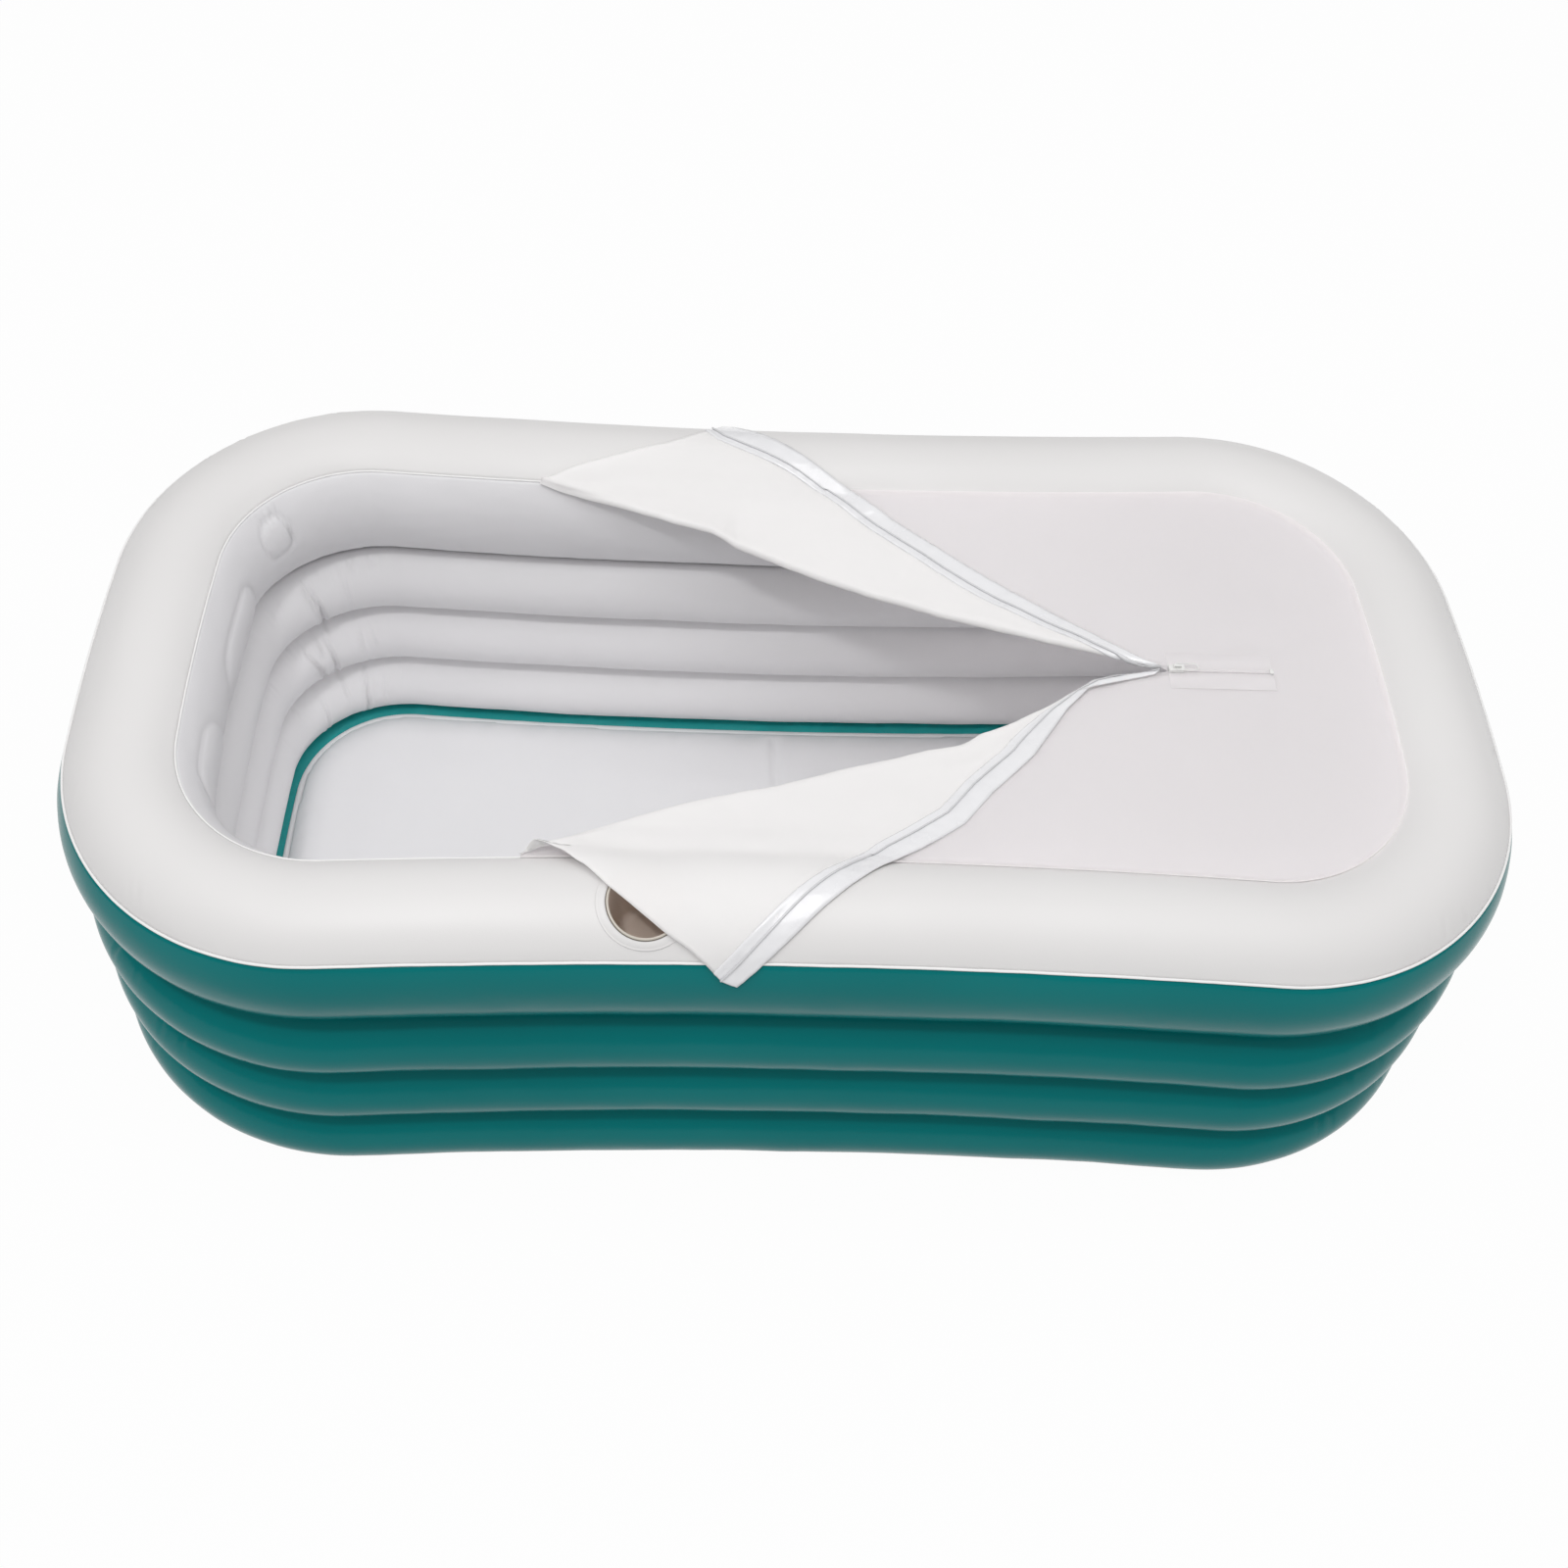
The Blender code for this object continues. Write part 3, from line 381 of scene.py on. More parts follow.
@dataclass(frozen=True)
class Plan:
    """Plan of the wall's middle line: tangent waist, corner and end arcs, four times mirrored."""
    half_length: float = 0.800
    waist_half_width: float = 0.4045
    reach: float = 0.079
    waist_radius: float = 8.270
    corner_radius: float = 0.217
    end_radius: float = 2.900

    @cached_property
    def middle_half_width(self) -> float:
        """Middle line's half width at the waist."""
        return self.waist_half_width - self.reach

    @cached_property
    def arcs(self) -> tuple:
        """Centres of the waist, corner and end arcs, and their turns.

        Returns:
            Three (centre, turn) pairs, the turns positive.
        """
        waist = Vector((0, self.middle_half_width + self.waist_radius))
        end = Vector((self.half_length - self.reach - self.end_radius, 0))
        span = end - waist
        to_waist = self.waist_radius + self.corner_radius
        to_end = self.end_radius - self.corner_radius
        along = (to_waist ** 2 - to_end ** 2 + span.length_squared) / (2 * span.length)
        aside = math.sqrt(to_waist ** 2 - along ** 2)
        across = Vector((-span.y, span.x)).normalized()
        corner = waist + span.normalized() * along + across * aside
        from_waist = (corner - waist).normalized()
        from_end = (corner - end).normalized()
        waist_turn = math.atan2(from_waist.x, -from_waist.y)
        end_turn = math.atan2(from_end.y, from_end.x)
        return (waist, waist_turn), (corner, math.pi / 2 + waist_turn - end_turn), (end, end_turn)

    @cached_property
    def lengths(self) -> tuple[float, float, float]:
        """Lengths of the middle line's three arcs."""
        radii = (self.waist_radius, self.corner_radius, self.end_radius)
        return tuple(radius * arc[1] for radius, arc in zip(radii, self.arcs))

    @cached_property
    def quarter(self) -> float:
        """Length of a quarter of the middle line."""
        return sum(self.lengths)

    def laps(self, run: float) -> tuple[float, ...]:
        """Places round the tub at a run along each quarter: back right, left, front right, left."""
        whole = self.quarter
        return run, 4 * whole - run, 2 * whole - run, 2 * whole + run

    def spot(self, place: Vector) -> Spot:
        """Find where a point lies beside the wall.

        Args:
            place: a point in the row frame.

        Returns:
            Its spot.
        """
        flat = Vector((abs(place.x), abs(place.y)))
        (waist, waist_turn), (corner, _), (tip, end_turn) = self.arcs
        out = flat - waist
        turn = math.atan2(out.x, -out.y)
        if turn <= waist_turn:
            run, offset = self.waist_radius * turn, self.waist_radius - out.length
        else:
            out = flat - corner
            turn = math.atan2(out.y, out.x)
            if turn >= end_turn:
                gone = math.pi / 2 + waist_turn - turn
                run = self.lengths[0] + self.corner_radius * gone
                offset = out.length - self.corner_radius
            else:
                out = flat - tip
                run = self.quarter - self.end_radius * math.atan2(out.y, out.x)
                offset = out.length - self.end_radius
        return Spot(run, self.laps(run)[2 * (place.y < 0) + (place.x < 0)], offset)

    def corner_share(self, spot: Spot) -> float:
        """Share that is 1 in a corner and fades along the straight sides.

        Args:
            spot: the place.

        Returns:
            The share.
        """
        start, end = self.lengths[0], self.lengths[0] + self.lengths[1]
        return smooth(start - 0.05, start + 0.08, spot.run) * \
            (1 - smooth(end - 0.08, end + 0.05, spot.run))

    def sweep(self, section: Sequence[Pair], step: float, closed: bool = False,
              fill: bool = False, corner_step: float = 0.0) -> Mesh:
        """Carry a section round the whole plan with spins and mirrors.

        Args:
            section: its (offset, height) points.
            step: length of a step along the middle line.
            closed: whether its last point joins its first.
            fill: whether the open holes are filled.
            corner_step: length of a step in the corners, or 0 for the same.

        Returns:
            The swept bmesh, merged, its normals recalculated.
        """
        bm = bmesh.new()
        front = outline(bm, ((0, self.middle_half_width + offset, height)
                             for offset, height in section), closed)
        strides = (step, corner_step or step, step)
        for (centre, turn), length, sense, stride in zip(self.arcs, self.lengths, (1, -1, -1),
                                                         strides):
            front = bmesh.ops.spin(bm, geom=front, cent=(*centre, 0), axis=UP, angle=sense * turn,
                                   steps=max(2, round(length / stride)))["geom_last"]
        for axis in ('X', 'Y'):
            bmesh.ops.mirror(bm, geom=bm.verts[:] + bm.edges[:] + bm.faces[:], axis=axis,
                             merge_dist=MERGE)
        bmesh.ops.remove_doubles(bm, verts=bm.verts, dist=MERGE)
        if fill:
            bmesh.ops.holes_fill(bm, edges=[e for e in bm.edges if e.is_boundary], sides=0)
        bmesh.ops.recalc_face_normals(bm, faces=bm.faces)
        return bm

    def long_side(self, x: float, offset: float, height: float, side: int) -> Vector:
        """Place a point beside one long side, at an offset from the middle line there.

        Args:
            x: place of the middle line along the tub.
            offset: offset from it, outwards positive.
            height: height of the point.
            side: 1 for the back, -1 for the front.

        Returns:
            The point.
        """
        turn = math.asin(x / self.waist_radius)
        y = self.middle_half_width + self.waist_radius * (1 - math.cos(turn))
        return Vector((x - offset * math.sin(turn), side * (y + offset * math.cos(turn)), height))


@dataclass(frozen=True)
class Section:
    """Section of the wall: three lower rings and a taller, elliptic top ring."""
    reach: float = 0.079
    bulge: float = 0.038
    pitch: float = 0.1008
    rings: int = 3
    land: float = 0.004
    weld: float = 0.0006
    top_rise: float = 0.165
    outer_run: float = 0.077
    inner_run: float = 0.0604
    foot: float = 0.00105

    @cached_property
    def crease_reach(self) -> float:
        """Middle line to the creases."""
        return self.reach - self.bulge

    @cached_property
    def drop(self) -> float:
        """Share of the top ring's half height that lies below its middle."""
        return math.sqrt(1 - (self.crease_reach / self.reach) ** 2)

    @cached_property
    def semi(self) -> float:
        """Half height of the top ring's ellipse."""
        return (self.top_rise - self.land / 2) / (1 + self.drop)

    @cached_property
    def centre(self) -> float:
        """Height of the top ring's middle."""
        return self.rings * self.pitch + self.land / 2 + self.semi * self.drop

    @cached_property
    def run_table(self) -> tuple[np.ndarray, np.ndarray]:
        """Angles round the top ring, falling, and the film's run to each, outwards positive.

        Returns:
            The two columns.
        """
        angles = np.linspace(3 * math.pi / 2, -math.pi / 2, 1441)
        slopes = np.hypot(self.reach * np.sin(angles), self.semi * np.cos(angles))
        steps = (slopes[1:] + slopes[:-1]) / 2 * (angles[0] - angles[1])
        runs = np.concatenate([[0], np.cumsum(steps)])
        return angles, runs - np.interp(-math.pi / 2, -angles, runs)

    def angle(self, run: float) -> float:
        """Angle on the top ring at a run of film from the crown."""
        angles, runs = self.run_table
        return float(np.interp(run, runs, angles))

    def run(self, offset: float, height: float) -> float:
        """Run of film from the crown to the point of the top ring nearest a place.

        Args:
            offset: offset of the place.
            height: its height.

        Returns:
            The run, outwards positive.
        """
        angle = math.atan2((height - self.centre) / self.semi, offset / self.reach)
        if angle < -math.pi / 2:
            angle += math.tau
        angles, runs = self.run_table
        return float(np.interp(-angle, -angles, runs))

    def normal(self, angle: float) -> Vector:
        """Way off the top ring's film at an angle."""
        return Vector((math.cos(angle) / self.reach, math.sin(angle) / self.semi)).normalized()

    def rim(self, angle: float, lift: float = 0.0) -> Pair:
        """Give (offset, height) on the top ring, raised off its film by lift.

        Args:
            angle: angle round the ring.
            lift: distance off the film.

        Returns:
            The offset and the height.
        """
        normal = self.normal(angle)
        return (self.reach * math.cos(angle) + normal.x * lift,
                self.centre + self.semi * math.sin(angle) + normal.y * lift)

    def rim_arc(self, start: float, end: float, steps: int) -> list[Pair]:
        """Points of the top ring between two angles."""
        return [self.rim(mix(start, end, i / steps)) for i in range(steps + 1)]

    def ring(self, number: int, side: int, steps: int) -> list[Pair]:
        """Trace one lower ring from its upper weld down to its lower one.

        Args:
            number: 1 for the lowest ring, 3 for the highest.
            side: 1 for the outer film, -1 for the inner one.
            steps: steps down the ring.

        Returns:
            Its (offset, height) points.
        """
        top = number * self.pitch - self.weld
        bottom = (number - 1) * self.pitch + self.weld if number > 1 else self.foot
        half = (top - bottom) / 2
        radius = (half ** 2 + self.bulge ** 2) / (2 * self.bulge)
        swing = math.asin(half / radius)
        angles = [swing * (1 - 2 * step / steps) for step in range(steps + 1)]
        return [(side * (self.reach - radius + radius * math.cos(angle)),
                 (top + bottom) / 2 + radius * math.sin(angle)) for angle in angles]

    def top_ring(self, start: float, side: int, steps: int) -> list[Pair]:
        """Trace the top ring from an angle down to the upper weld on one side.

        Args:
            start: the angle.
            side: 1 for the outer film, -1 for the inner one.
            steps: steps down the ring.

        Returns:
            Its (offset, height) points.
        """
        crease = math.asin(self.drop)
        weld = (side * self.crease_reach, self.rings * self.pitch + self.weld)
        return self.rim_arc(start, -crease if side > 0 else math.pi + crease, steps) + [weld]


PLAN = Plan()
SECTION = Section()


# Wrinkles


@dataclass(frozen=True)
class Wrinkle:
    """A crease in a film from one (lap, girth) place to another."""
    start: Pair
    end: Pair
    depth: float
    width: float
    shoulder: float = 0.4

    def height(self, lap: float, girth: float) -> float:
        """Give the film's movement at a place.

        Args:
            lap: place round the tub.
            girth: place along the section.

        Returns:
            Metres along the normal, negative in the crease.
        """
        away = Vector((lap - self.start[0], girth - self.start[1]))
        along = Vector((self.end[0] - self.start[0], self.end[1] - self.start[1]))
        share = min(max(away.dot(along) / along.length_squared, 0.0), 1.0)
        gap = (away - along * share).length / self.width
        if gap > 4:
            return 0.0
        fade = math.sin(math.pi * (0.1 + 0.8 * share))
        ridge = self.shoulder * math.exp(-((gap - 1.7) / 0.9) ** 2)
        return self.depth * fade * (ridge - math.exp(-gap * gap))


@dataclass(frozen=True)
class Capsule:
    """A rounded bulge in a film, longer round the tub than along the section."""
    centre: Pair
    half: Pair
    height: float
    groove: float = 0.0020

    def lift(self, lap: float, girth: float) -> float:
        """Movement of the film at a place: a pillow inside, a groove along its border.

        Args:
            lap: place round the tub.
            girth: place along the section.

        Returns:
            Metres along the normal.
        """
        radius = min(self.half)
        reach = [max(abs(p - c) - (h - radius), 0.0)
                 for p, c, h in zip((lap, girth), self.centre, self.half)]
        inside = radius - math.hypot(*reach)
        crown = 1 - (1 - min(max(inside / radius, 0.0), 1.0)) ** 2.4
        pillow = self.height * crown * smooth(-0.002, 0.010, inside)
        return pillow - self.groove * math.exp(-(inside / 0.0028) ** 2)


class WrinkleSet:
    """Wrinkles sorted by their place round the tub, so that a point reads only its own."""

    def __init__(self, wrinkles: Iterable[Wrinkle], cell: float = 0.04) -> None:
        """Sort the wrinkles.

        Args:
            wrinkles: the wrinkles.
            cell: length of a cell round the tub.
        """
        self.cell = cell
        self.cells: dict[int, list[Wrinkle]] = {}
        for wrinkle in wrinkles:
            ends = sorted((wrinkle.start[0], wrinkle.end[0]))
            reach = 4 * wrinkle.width
            first, last = int((ends[0] - reach) // cell), int((ends[1] + reach) // cell)
            for key in range(first, last + 1):
                self.cells.setdefault(key, []).append(wrinkle)

    def height(self, lap: float, girth: float) -> float:
        """Sum the wrinkles at a place."""
        return sum(w.height(lap, girth) for w in self.cells.get(int(lap // self.cell), ()))


def ripple(spot: Spot, height: float, pitch: float, seed: float = 0.0) -> float:
    """Give even noise round the tub.

    Args:
        spot: the place.
        height: its height or girth.
        pitch: size of a ripple.
        seed: shifts the pattern.

    Returns:
        A value from -1 to 1.
    """
    radius = 2 * PLAN.quarter / math.pi
    place = radius * way(spot.lap / radius)
    return noise.noise(Vector((*place, height + seed)) / pitch)


# Making pieces


def move_along_normals(bm: Mesh, rise: Field) -> None:
    """Move each vertex along its normal by what rise gives for its place.

    Args:
        bm: the mesh.
        rise: gives the movement at a place.
    """
    bm.normal_update()
    for vert, move in [(vert, vert.normal * rise(vert.co)) for vert in bm.verts]:
        vert.co += move


def face_towards(bm: Mesh, outward: Callable[[Vector], Vector]) -> None:
    """Turn an open mesh of consistent faces so that most of them look outward.

    Args:
        bm: the mesh.
        outward: gives the outward way at a place.
    """
    bm.normal_update()
    if sum(f.calc_area() * f.normal.dot(outward(f.calc_center_median())) for f in bm.faces) < 0:
        bmesh.ops.reverse_faces(bm, faces=bm.faces)


def show(thing: Piece) -> Piece:
    """Put an object in the scene."""
    bpy.context.scene.collection.objects.link(thing)
    return thing


def add_piece(name: str, bm: Mesh, finish: Finish, slot: Slot, body: Optional[str] = TUB,
              replaced: Sequence[str] = (), thickness: float = 0.0, even: bool = True) -> Piece:
    """Put a finished bmesh in the scene as a piece.

    Args:
        name: its name.
        bm: its mesh, which is freed.
        finish: its material.
        slot: the record's slot; not used.
        body: CAD body that it rides on, or None.
        replaced: CAD nodes that it stands for.
        thickness: film thickness, half to each side, or 0.
        even: whether the thickness is kept at sharp bends.

    Returns:
        The object.
    """
    mesh = bpy.data.meshes.new(name)
    bm.to_mesh(mesh)
    bm.free()
    piece = show(bpy.data.objects.new(name, mesh))
    mesh.materials.append(finish.material())
    mesh.shade_smooth()
    if thickness:
        solid = piece.modifiers.new("film", 'SOLIDIFY')
        solid.thickness = thickness
        solid.offset = 0
        solid.use_even_offset = even
    if body:
        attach(piece, body)
    if replaced:
        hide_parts(*replaced)
    LOG.info("%s: %d faces", name, len(mesh.polygons))
    return piece


def patch(rows: int, columns: int, place: Callable[[float, float], Vector]) -> Mesh:
    """Make a grid whose corners a function places.

    Args:
        rows: quads one way.
        columns: quads the other way.
        place: gives a corner's place from its two shares.

    Returns:
        The bmesh.
    """
    bm = bmesh.new()
    bmesh.ops.create_grid(bm, x_segments=rows, y_segments=columns, size=0.5)
    for vert in bm.verts:
        vert.co = place(round((vert.co.x + 0.5) * rows) / rows,
                        round((vert.co.y + 0.5) * columns) / columns)
    bmesh.ops.recalc_face_normals(bm, faces=bm.faces)
    return bm


def lathe(profile: Sequence[Pair], closed: bool, steps: int) -> Mesh:
    """Turn (radius, height) points round Z, joined to a ring where closed.

    Args:
        profile: the points.
        closed: whether the last one joins the first.
        steps: steps of the whole turn.

    Returns:
        The bmesh.
    """
    bm = bmesh.new()
    line = outline(bm, ((radius, 0, height) for radius, height in profile), closed)
    bmesh.ops.spin(bm, geom=line, cent=(0, 0, 0), axis=UP, angle=math.tau, steps=steps,
                   use_merge=True)
    return merged(bm)


def dress(nodes: Sequence[str], finish: Finish) -> None:
    """Give CAD nodes that stay in view a procedural material.

    Args:
        nodes: their names.
        finish: the material.
    """
    for name in nodes:
        node = FRAME["nodes"][name]
        for index in range(max(len(node.material_slots), 1)):
            if not node.material_slots:
                node.data.materials.append(finish.material())
            node.material_slots[index].material = finish.material()


# Air wall


# Marks on the rim at the head's front corner: two (lap, run) ends, depth and width.
RIM_MARKS = ((((3.300, 0.071), (3.318, 0.040)), 0.0013, 0.0024),
             (((3.260, 0.073), (3.272, 0.052)), 0.0010, 0.0020))


@dataclass
class AirWall:
    """The rings' films, the seam beads and the webs."""
    film: float = 0.0005
    step: float = 0.0064
    corner_step: float = 0.0034
    gap_angle: float = 0.0002
    ring_steps: int = 20
    top_steps: int = 26
    pucker_depth: float = 0.0012
    pucker_reach: float = 0.010
    swell: float = 0.0011
    cup_hole: float = 0.0385
    # The head end's three bulges: middle (lap, run), half sizes, height.
    bulges: tuple = ((0.2620, -0.106, 0.0340, 0.0270, 0.0028),
                     (0.0760, -0.152, 0.085, 0.046, 0.0036),
                     (-0.1346, -0.144, 0.0725, 0.048, 0.0036))
    # Creases of a corner: ring, start and end (run past the waist, height share), depth, width.
    corner_creases: tuple = (
        (3, 0.171, 0.78, 0.146, -0.95, 0.0058, 0.0046),
        (3, 0.101, 0.80, 0.100, -0.20, 0.0020, 0.0044),
        (3, 0.182, 0.86, 0.176, 0.10, 0.0022, 0.0026),
        (3, 0.160, -0.97, 0.158, -0.30, 0.0024, 0.0028),
        (2, 0.158, 0.70, 0.144, -0.88, 0.0052, 0.0042),
        (2, 0.205, 0.60, 0.168, -0.80, 0.0040, 0.0040),
        (2, 0.091, 0.65, 0.088, -0.10, 0.0018, 0.0034),
        (2, 0.072, 0.60, 0.058, 0.00, 0.0016, 0.0034),
        (2, 0.176, 0.95, 0.172, 0.20, 0.0024, 0.0026),
        (2, 0.150, -0.96, 0.153, -0.35, 0.0022, 0.0026),
        (1, 0.092, 0.92, 0.101, -0.60, 0.0046, 0.0040),
        (1, 0.192, 0.60, 0.194, -0.60, 0.0036, 0.0042),
        (1, 0.062, 0.70, 0.060, -0.20, 0.0014, 0.0036),
        (1, 0.140, 0.94, 0.137, 0.15, 0.0022, 0.0026))

    def out(self, place: Vector) -> Vector:
        """Point from the wall's middle line through a place.

        Args:
            place: the place.

        Returns:
            The outward way there, not of unit length.
        """
        spot = PLAN.spot(place)
        level = min(int(place.z // SECTION.pitch), SECTION.rings)
        middle = (level + 0.5) * SECTION.pitch if level < SECTION.rings else SECTION.centre
        probe = Vector((place.x * 1.001, place.y, 0))
        along_x = PLAN.spot(probe).offset - spot.offset
        probe = Vector((place.x, place.y * 1.001, 0))
        along_y = PLAN.spot(probe).offset - spot.offset
        plan = Vector((along_x / (place.x * 0.001 or 1e-6), along_y / (place.y * 0.001 or 1e-6)))
        return Vector((plan.x * spot.offset, plan.y * spot.offset, place.z - middle))

    def welds(self, height: float) -> float:
        """Distance from the nearest weld."""
        return min(abs(height - level * SECTION.pitch) for level in range(SECTION.rings + 1))

    def puckers(self, spot: Spot, height: float, seed: float) -> float:
        """Small gathers that fade away from each welded crease.

        Args:
            spot: the place round the tub.
            height: its height.
            seed: shifts the pattern.

        Returns:
            Metres along the normal.
        """
        near = self.welds(height)
        fade = math.exp(-near / self.pucker_reach)
        corner = 0.30 + 1.1 * PLAN.corner_share(spot)
        wave = ripple(spot, height * 0.4, 0.017, seed) + 0.6 * ripple(spot, height, 0.007, seed)
        return self.pucker_depth * corner * fade * wave

    def short_creases(self, seed: int, count: int, low: float, high: float,
                      depth: float) -> list[Wrinkle]:
        """Scatter short creases round the tub that start at the rings' welds.

        Args:
            seed: seed of the scatter.
            count: how many.
            low: least length.
            high: greatest length.
            depth: greatest depth.

        Returns:
            The wrinkles.
        """
        pick = np.random.default_rng(seed)
        made = []
        for _ in range(count):
            lap = pick.uniform(0, 4 * PLAN.quarter)
            level = pick.integers(1, SECTION.rings + 1) * SECTION.pitch
            side = pick.choice((-1, 1))
            length = pick.uniform(low, high)
            lean = pick.uniform(-0.25, 0.25) * length
            start = (lap, level + side * 0.002)
            end = (lap + lean, level + side * length)
            made.append(Wrinkle(start, end, depth * pick.uniform(0.4, 1),
                                pick.uniform(0.0018, 0.0034)))
        return made

    def corner_gathers(self, seed: int, count: int, depth: float) -> list[Wrinkle]:
        """Scatter fine creases in the four corners, where the curved film has to gather.

        Args:
            seed: seed of the scatter.
            count: how many to each corner.
            depth: greatest depth.

        Returns:
            The wrinkles.
        """
        pick = np.random.default_rng(seed)
        made = []
        for corner in range(4):
            for _ in range(count):
                run = PLAN.lengths[0] + PLAN.lengths[1] * pick.uniform(0.08, 0.95)
                lap = PLAN.laps(run)[corner]
                level = pick.integers(1, SECTION.rings + 1) * SECTION.pitch
                side = pick.choice((-1, 1))
                length = pick.uniform(0.012, 0.034)
                made.append(Wrinkle((lap, level + side * 0.0015),
                                    (lap + pick.uniform(-0.3, 0.3) * length, level + side * length),
                                    depth * pick.uniform(0.3, 1), pick.uniform(0.0014, 0.0026)))
        return made

    def rings_of(self, name: str, side: int, top: Sequence[Pair], finishes: Sequence[Finish],
                 slot: Slot, node: str, rise: Field) -> None:
        """Build one film's four rings, each a piece of its own between two welds.

        Args:
            name: first part of the pieces' names.
            side: 1 for the outer film, -1 for the inner one.
            top: section of the top ring.
            finishes: their materials, from the top ring down.
            slot: the record's slot.
            node: the CAD node that they stand for.
            rise: movement of the film along its normal.
        """
        sections = [(f"{name}_ring_{number}", SECTION.ring(number, side, self.ring_steps))
                    for number in range(SECTION.rings, 0, -1)]
        for (label, section), finish in zip([(name + "_top_ring", top)] + sections, finishes):
            bm = PLAN.sweep(section, self.step, corner_step=self.corner_step)
            face_towards(bm, self.out)
            move_along_normals(bm, lambda place: rise(place) * smooth(
                SECTION.weld, 0.004, self.welds(place.z)))
            add_piece(label, bm, finish, slot, replaced=(node,), thickness=self.film)

    def outer_film(self) -> None:
        """Build the teal film of all four rings."""
        start = SECTION.angle(SECTION.outer_run) - self.gap_angle
        creases = WrinkleSet(self.short_creases(7, 80, 0.012, 0.038, 0.0012)
                             + self.corner_gathers(31, 24, 0.0022))

        def rise(place: Vector) -> float:
            """Movement of the teal film.

            Args:
                place: a place on the film.

            Returns:
                Metres along the normal.
            """
            spot = PLAN.spot(place)
            seam = smooth(0, 0.012, abs(SECTION.run(spot.offset, place.z) - SECTION.outer_run)) \
                if place.z > SECTION.centre else 1
            foot = smooth(0, 0.02, place.z)
            body = self.swell * ripple(spot, place.z * 1.5, 0.11, 3) + \
                0.3 * self.swell * ripple(spot, place.z * 2, 0.035, 9)
            return foot * seam * (body + self.puckers(spot, place.z, 1)
                                  + creases.height(spot.lap, place.z))

        self.rings_of("teal", 1, SECTION.top_ring(start, 1, self.top_steps // 2 + 6),
                      (TEAL,) * 4, Slot.TEAL, "outer_wall", rise)

    def rim_film(self, cup: "CupHolder") -> None:
        """Build the white film over the top ring, with the cup holder's hole.

        Args:
            cup: the cup holder, for the hole's place.
        """
        outer = SECTION.angle(SECTION.outer_run) + self.gap_angle
        inner = SECTION.angle(-SECTION.inner_run) - self.gap_angle
        bm = PLAN.sweep(SECTION.rim_arc(outer, inner, 32), self.step * 0.8,
                        corner_step=self.corner_step)
        face_towards(bm, self.out)
        hole = [f for f in bm.faces if any(cup.away(v.co) < self.cup_hole for v in f.verts)]
        bmesh.ops.delete(bm, geom=hole, context='FACES')
        pick = np.random.default_rng(21)
        marks = [Wrinkle(*ends, depth, width, 0.6) for ends, depth, width in RIM_MARKS]
        for corner in range(4):
            middle = PLAN.quarter * (2 * (corner // 2) + (1 if corner % 2 else -1)) % \
                (4 * PLAN.quarter)
            for _ in range(9):
                lap = (middle + pick.uniform(-0.34, 0.34)) % (4 * PLAN.quarter)
                top = pick.uniform(0.035, 0.058)
                lean = pick.uniform(-0.018, 0.018)
                marks.append(Wrinkle((lap, 0.074), (lap + lean, top), pick.uniform(0.0004, 0.0011),
                                     pick.uniform(0.0015, 0.0026), 0.6))
        creases = WrinkleSet(marks)

        def rise(place: Vector) -> float:
            """Movement of the white film.

            Args:
                place: a place on the film.

            Returns:
                Metres along the normal.
            """
            spot = PLAN.spot(place)
            run = SECTION.run(spot.offset, place.z)
            edge = smooth(0, 0.012, SECTION.outer_run - run) * \
                smooth(0, 0.012, run + SECTION.inner_run)
            gather = math.exp(-(SECTION.outer_run - run) / 0.009) * PLAN.corner_share(spot)
            body = self.swell * ripple(spot, run, 0.13, 5)
            return edge * (body + creases.height(spot.lap, run)) + \
                0.0009 * gather * smooth(0, 0.006, SECTION.outer_run - run) * \
                ripple(spot, run * 0.4, 0.012, 2)

        move_along_normals(bm, rise)
        add_piece("white_rim", bm, WHITE, Slot.WHITE, replaced=("top_rim",),
                  thickness=self.film)

    def inner_creases(self) -> list[Wrinkle]:
        """List the creases of the inner rings in all four corners.

        Returns:
            The wrinkles, in (lap, height).
        """
        pick = np.random.default_rng(5)
        made = self.short_creases(13, 100, 0.010, 0.030, 0.0011) + \
            self.corner_gathers(37, 24, 0.0030)
        half = SECTION.pitch / 2
        for corner in range(4):
            for ring, near, high, far, low, depth, width in self.corner_creases:
                if corner == 1:
                    depth, width = depth * 1.35, width * 0.85
                else:
                    shift = pick.uniform(-0.05, 0.05)
                    near, far = near + shift, far + shift + pick.uniform(-0.01, 0.01)
                    depth *= pick.uniform(0.5, 0.95)
                laps = [PLAN.laps(run + PLAN.lengths[0])[corner] for run in (near, far)]
                middle = (ring - 0.5) * SECTION.pitch
                made.append(Wrinkle((laps[0], middle + high * half), (laps[1], middle + low * half),
                                    depth, width, 0.45))
        return made

    def inner_film(self) -> None:
        """Build the grey-white film inside the tub, with the head end's bulges."""
        start = SECTION.angle(-SECTION.inner_run) + self.gap_angle
        head = 3 * PLAN.quarter
        bulges = [Capsule((head + lap, run), (long, girth), height)
                  for lap, run, long, girth, height in self.bulges]
        fan = [Wrinkle((head + 0.266 + shift * 1.4, -0.066), (head + 0.264 + shift, -0.085),
                       0.0022, 0.0021) for shift in (-0.014, -0.004, 0.006, 0.015)]
        fan.append(Wrinkle((head + 0.281, -0.084), (head + 0.293, -0.128), 0.0034, 0.0026))
        low_creases = WrinkleSet(self.inner_creases())
        top_creases = WrinkleSet(fan)
        web = SECTION.rings * SECTION.pitch

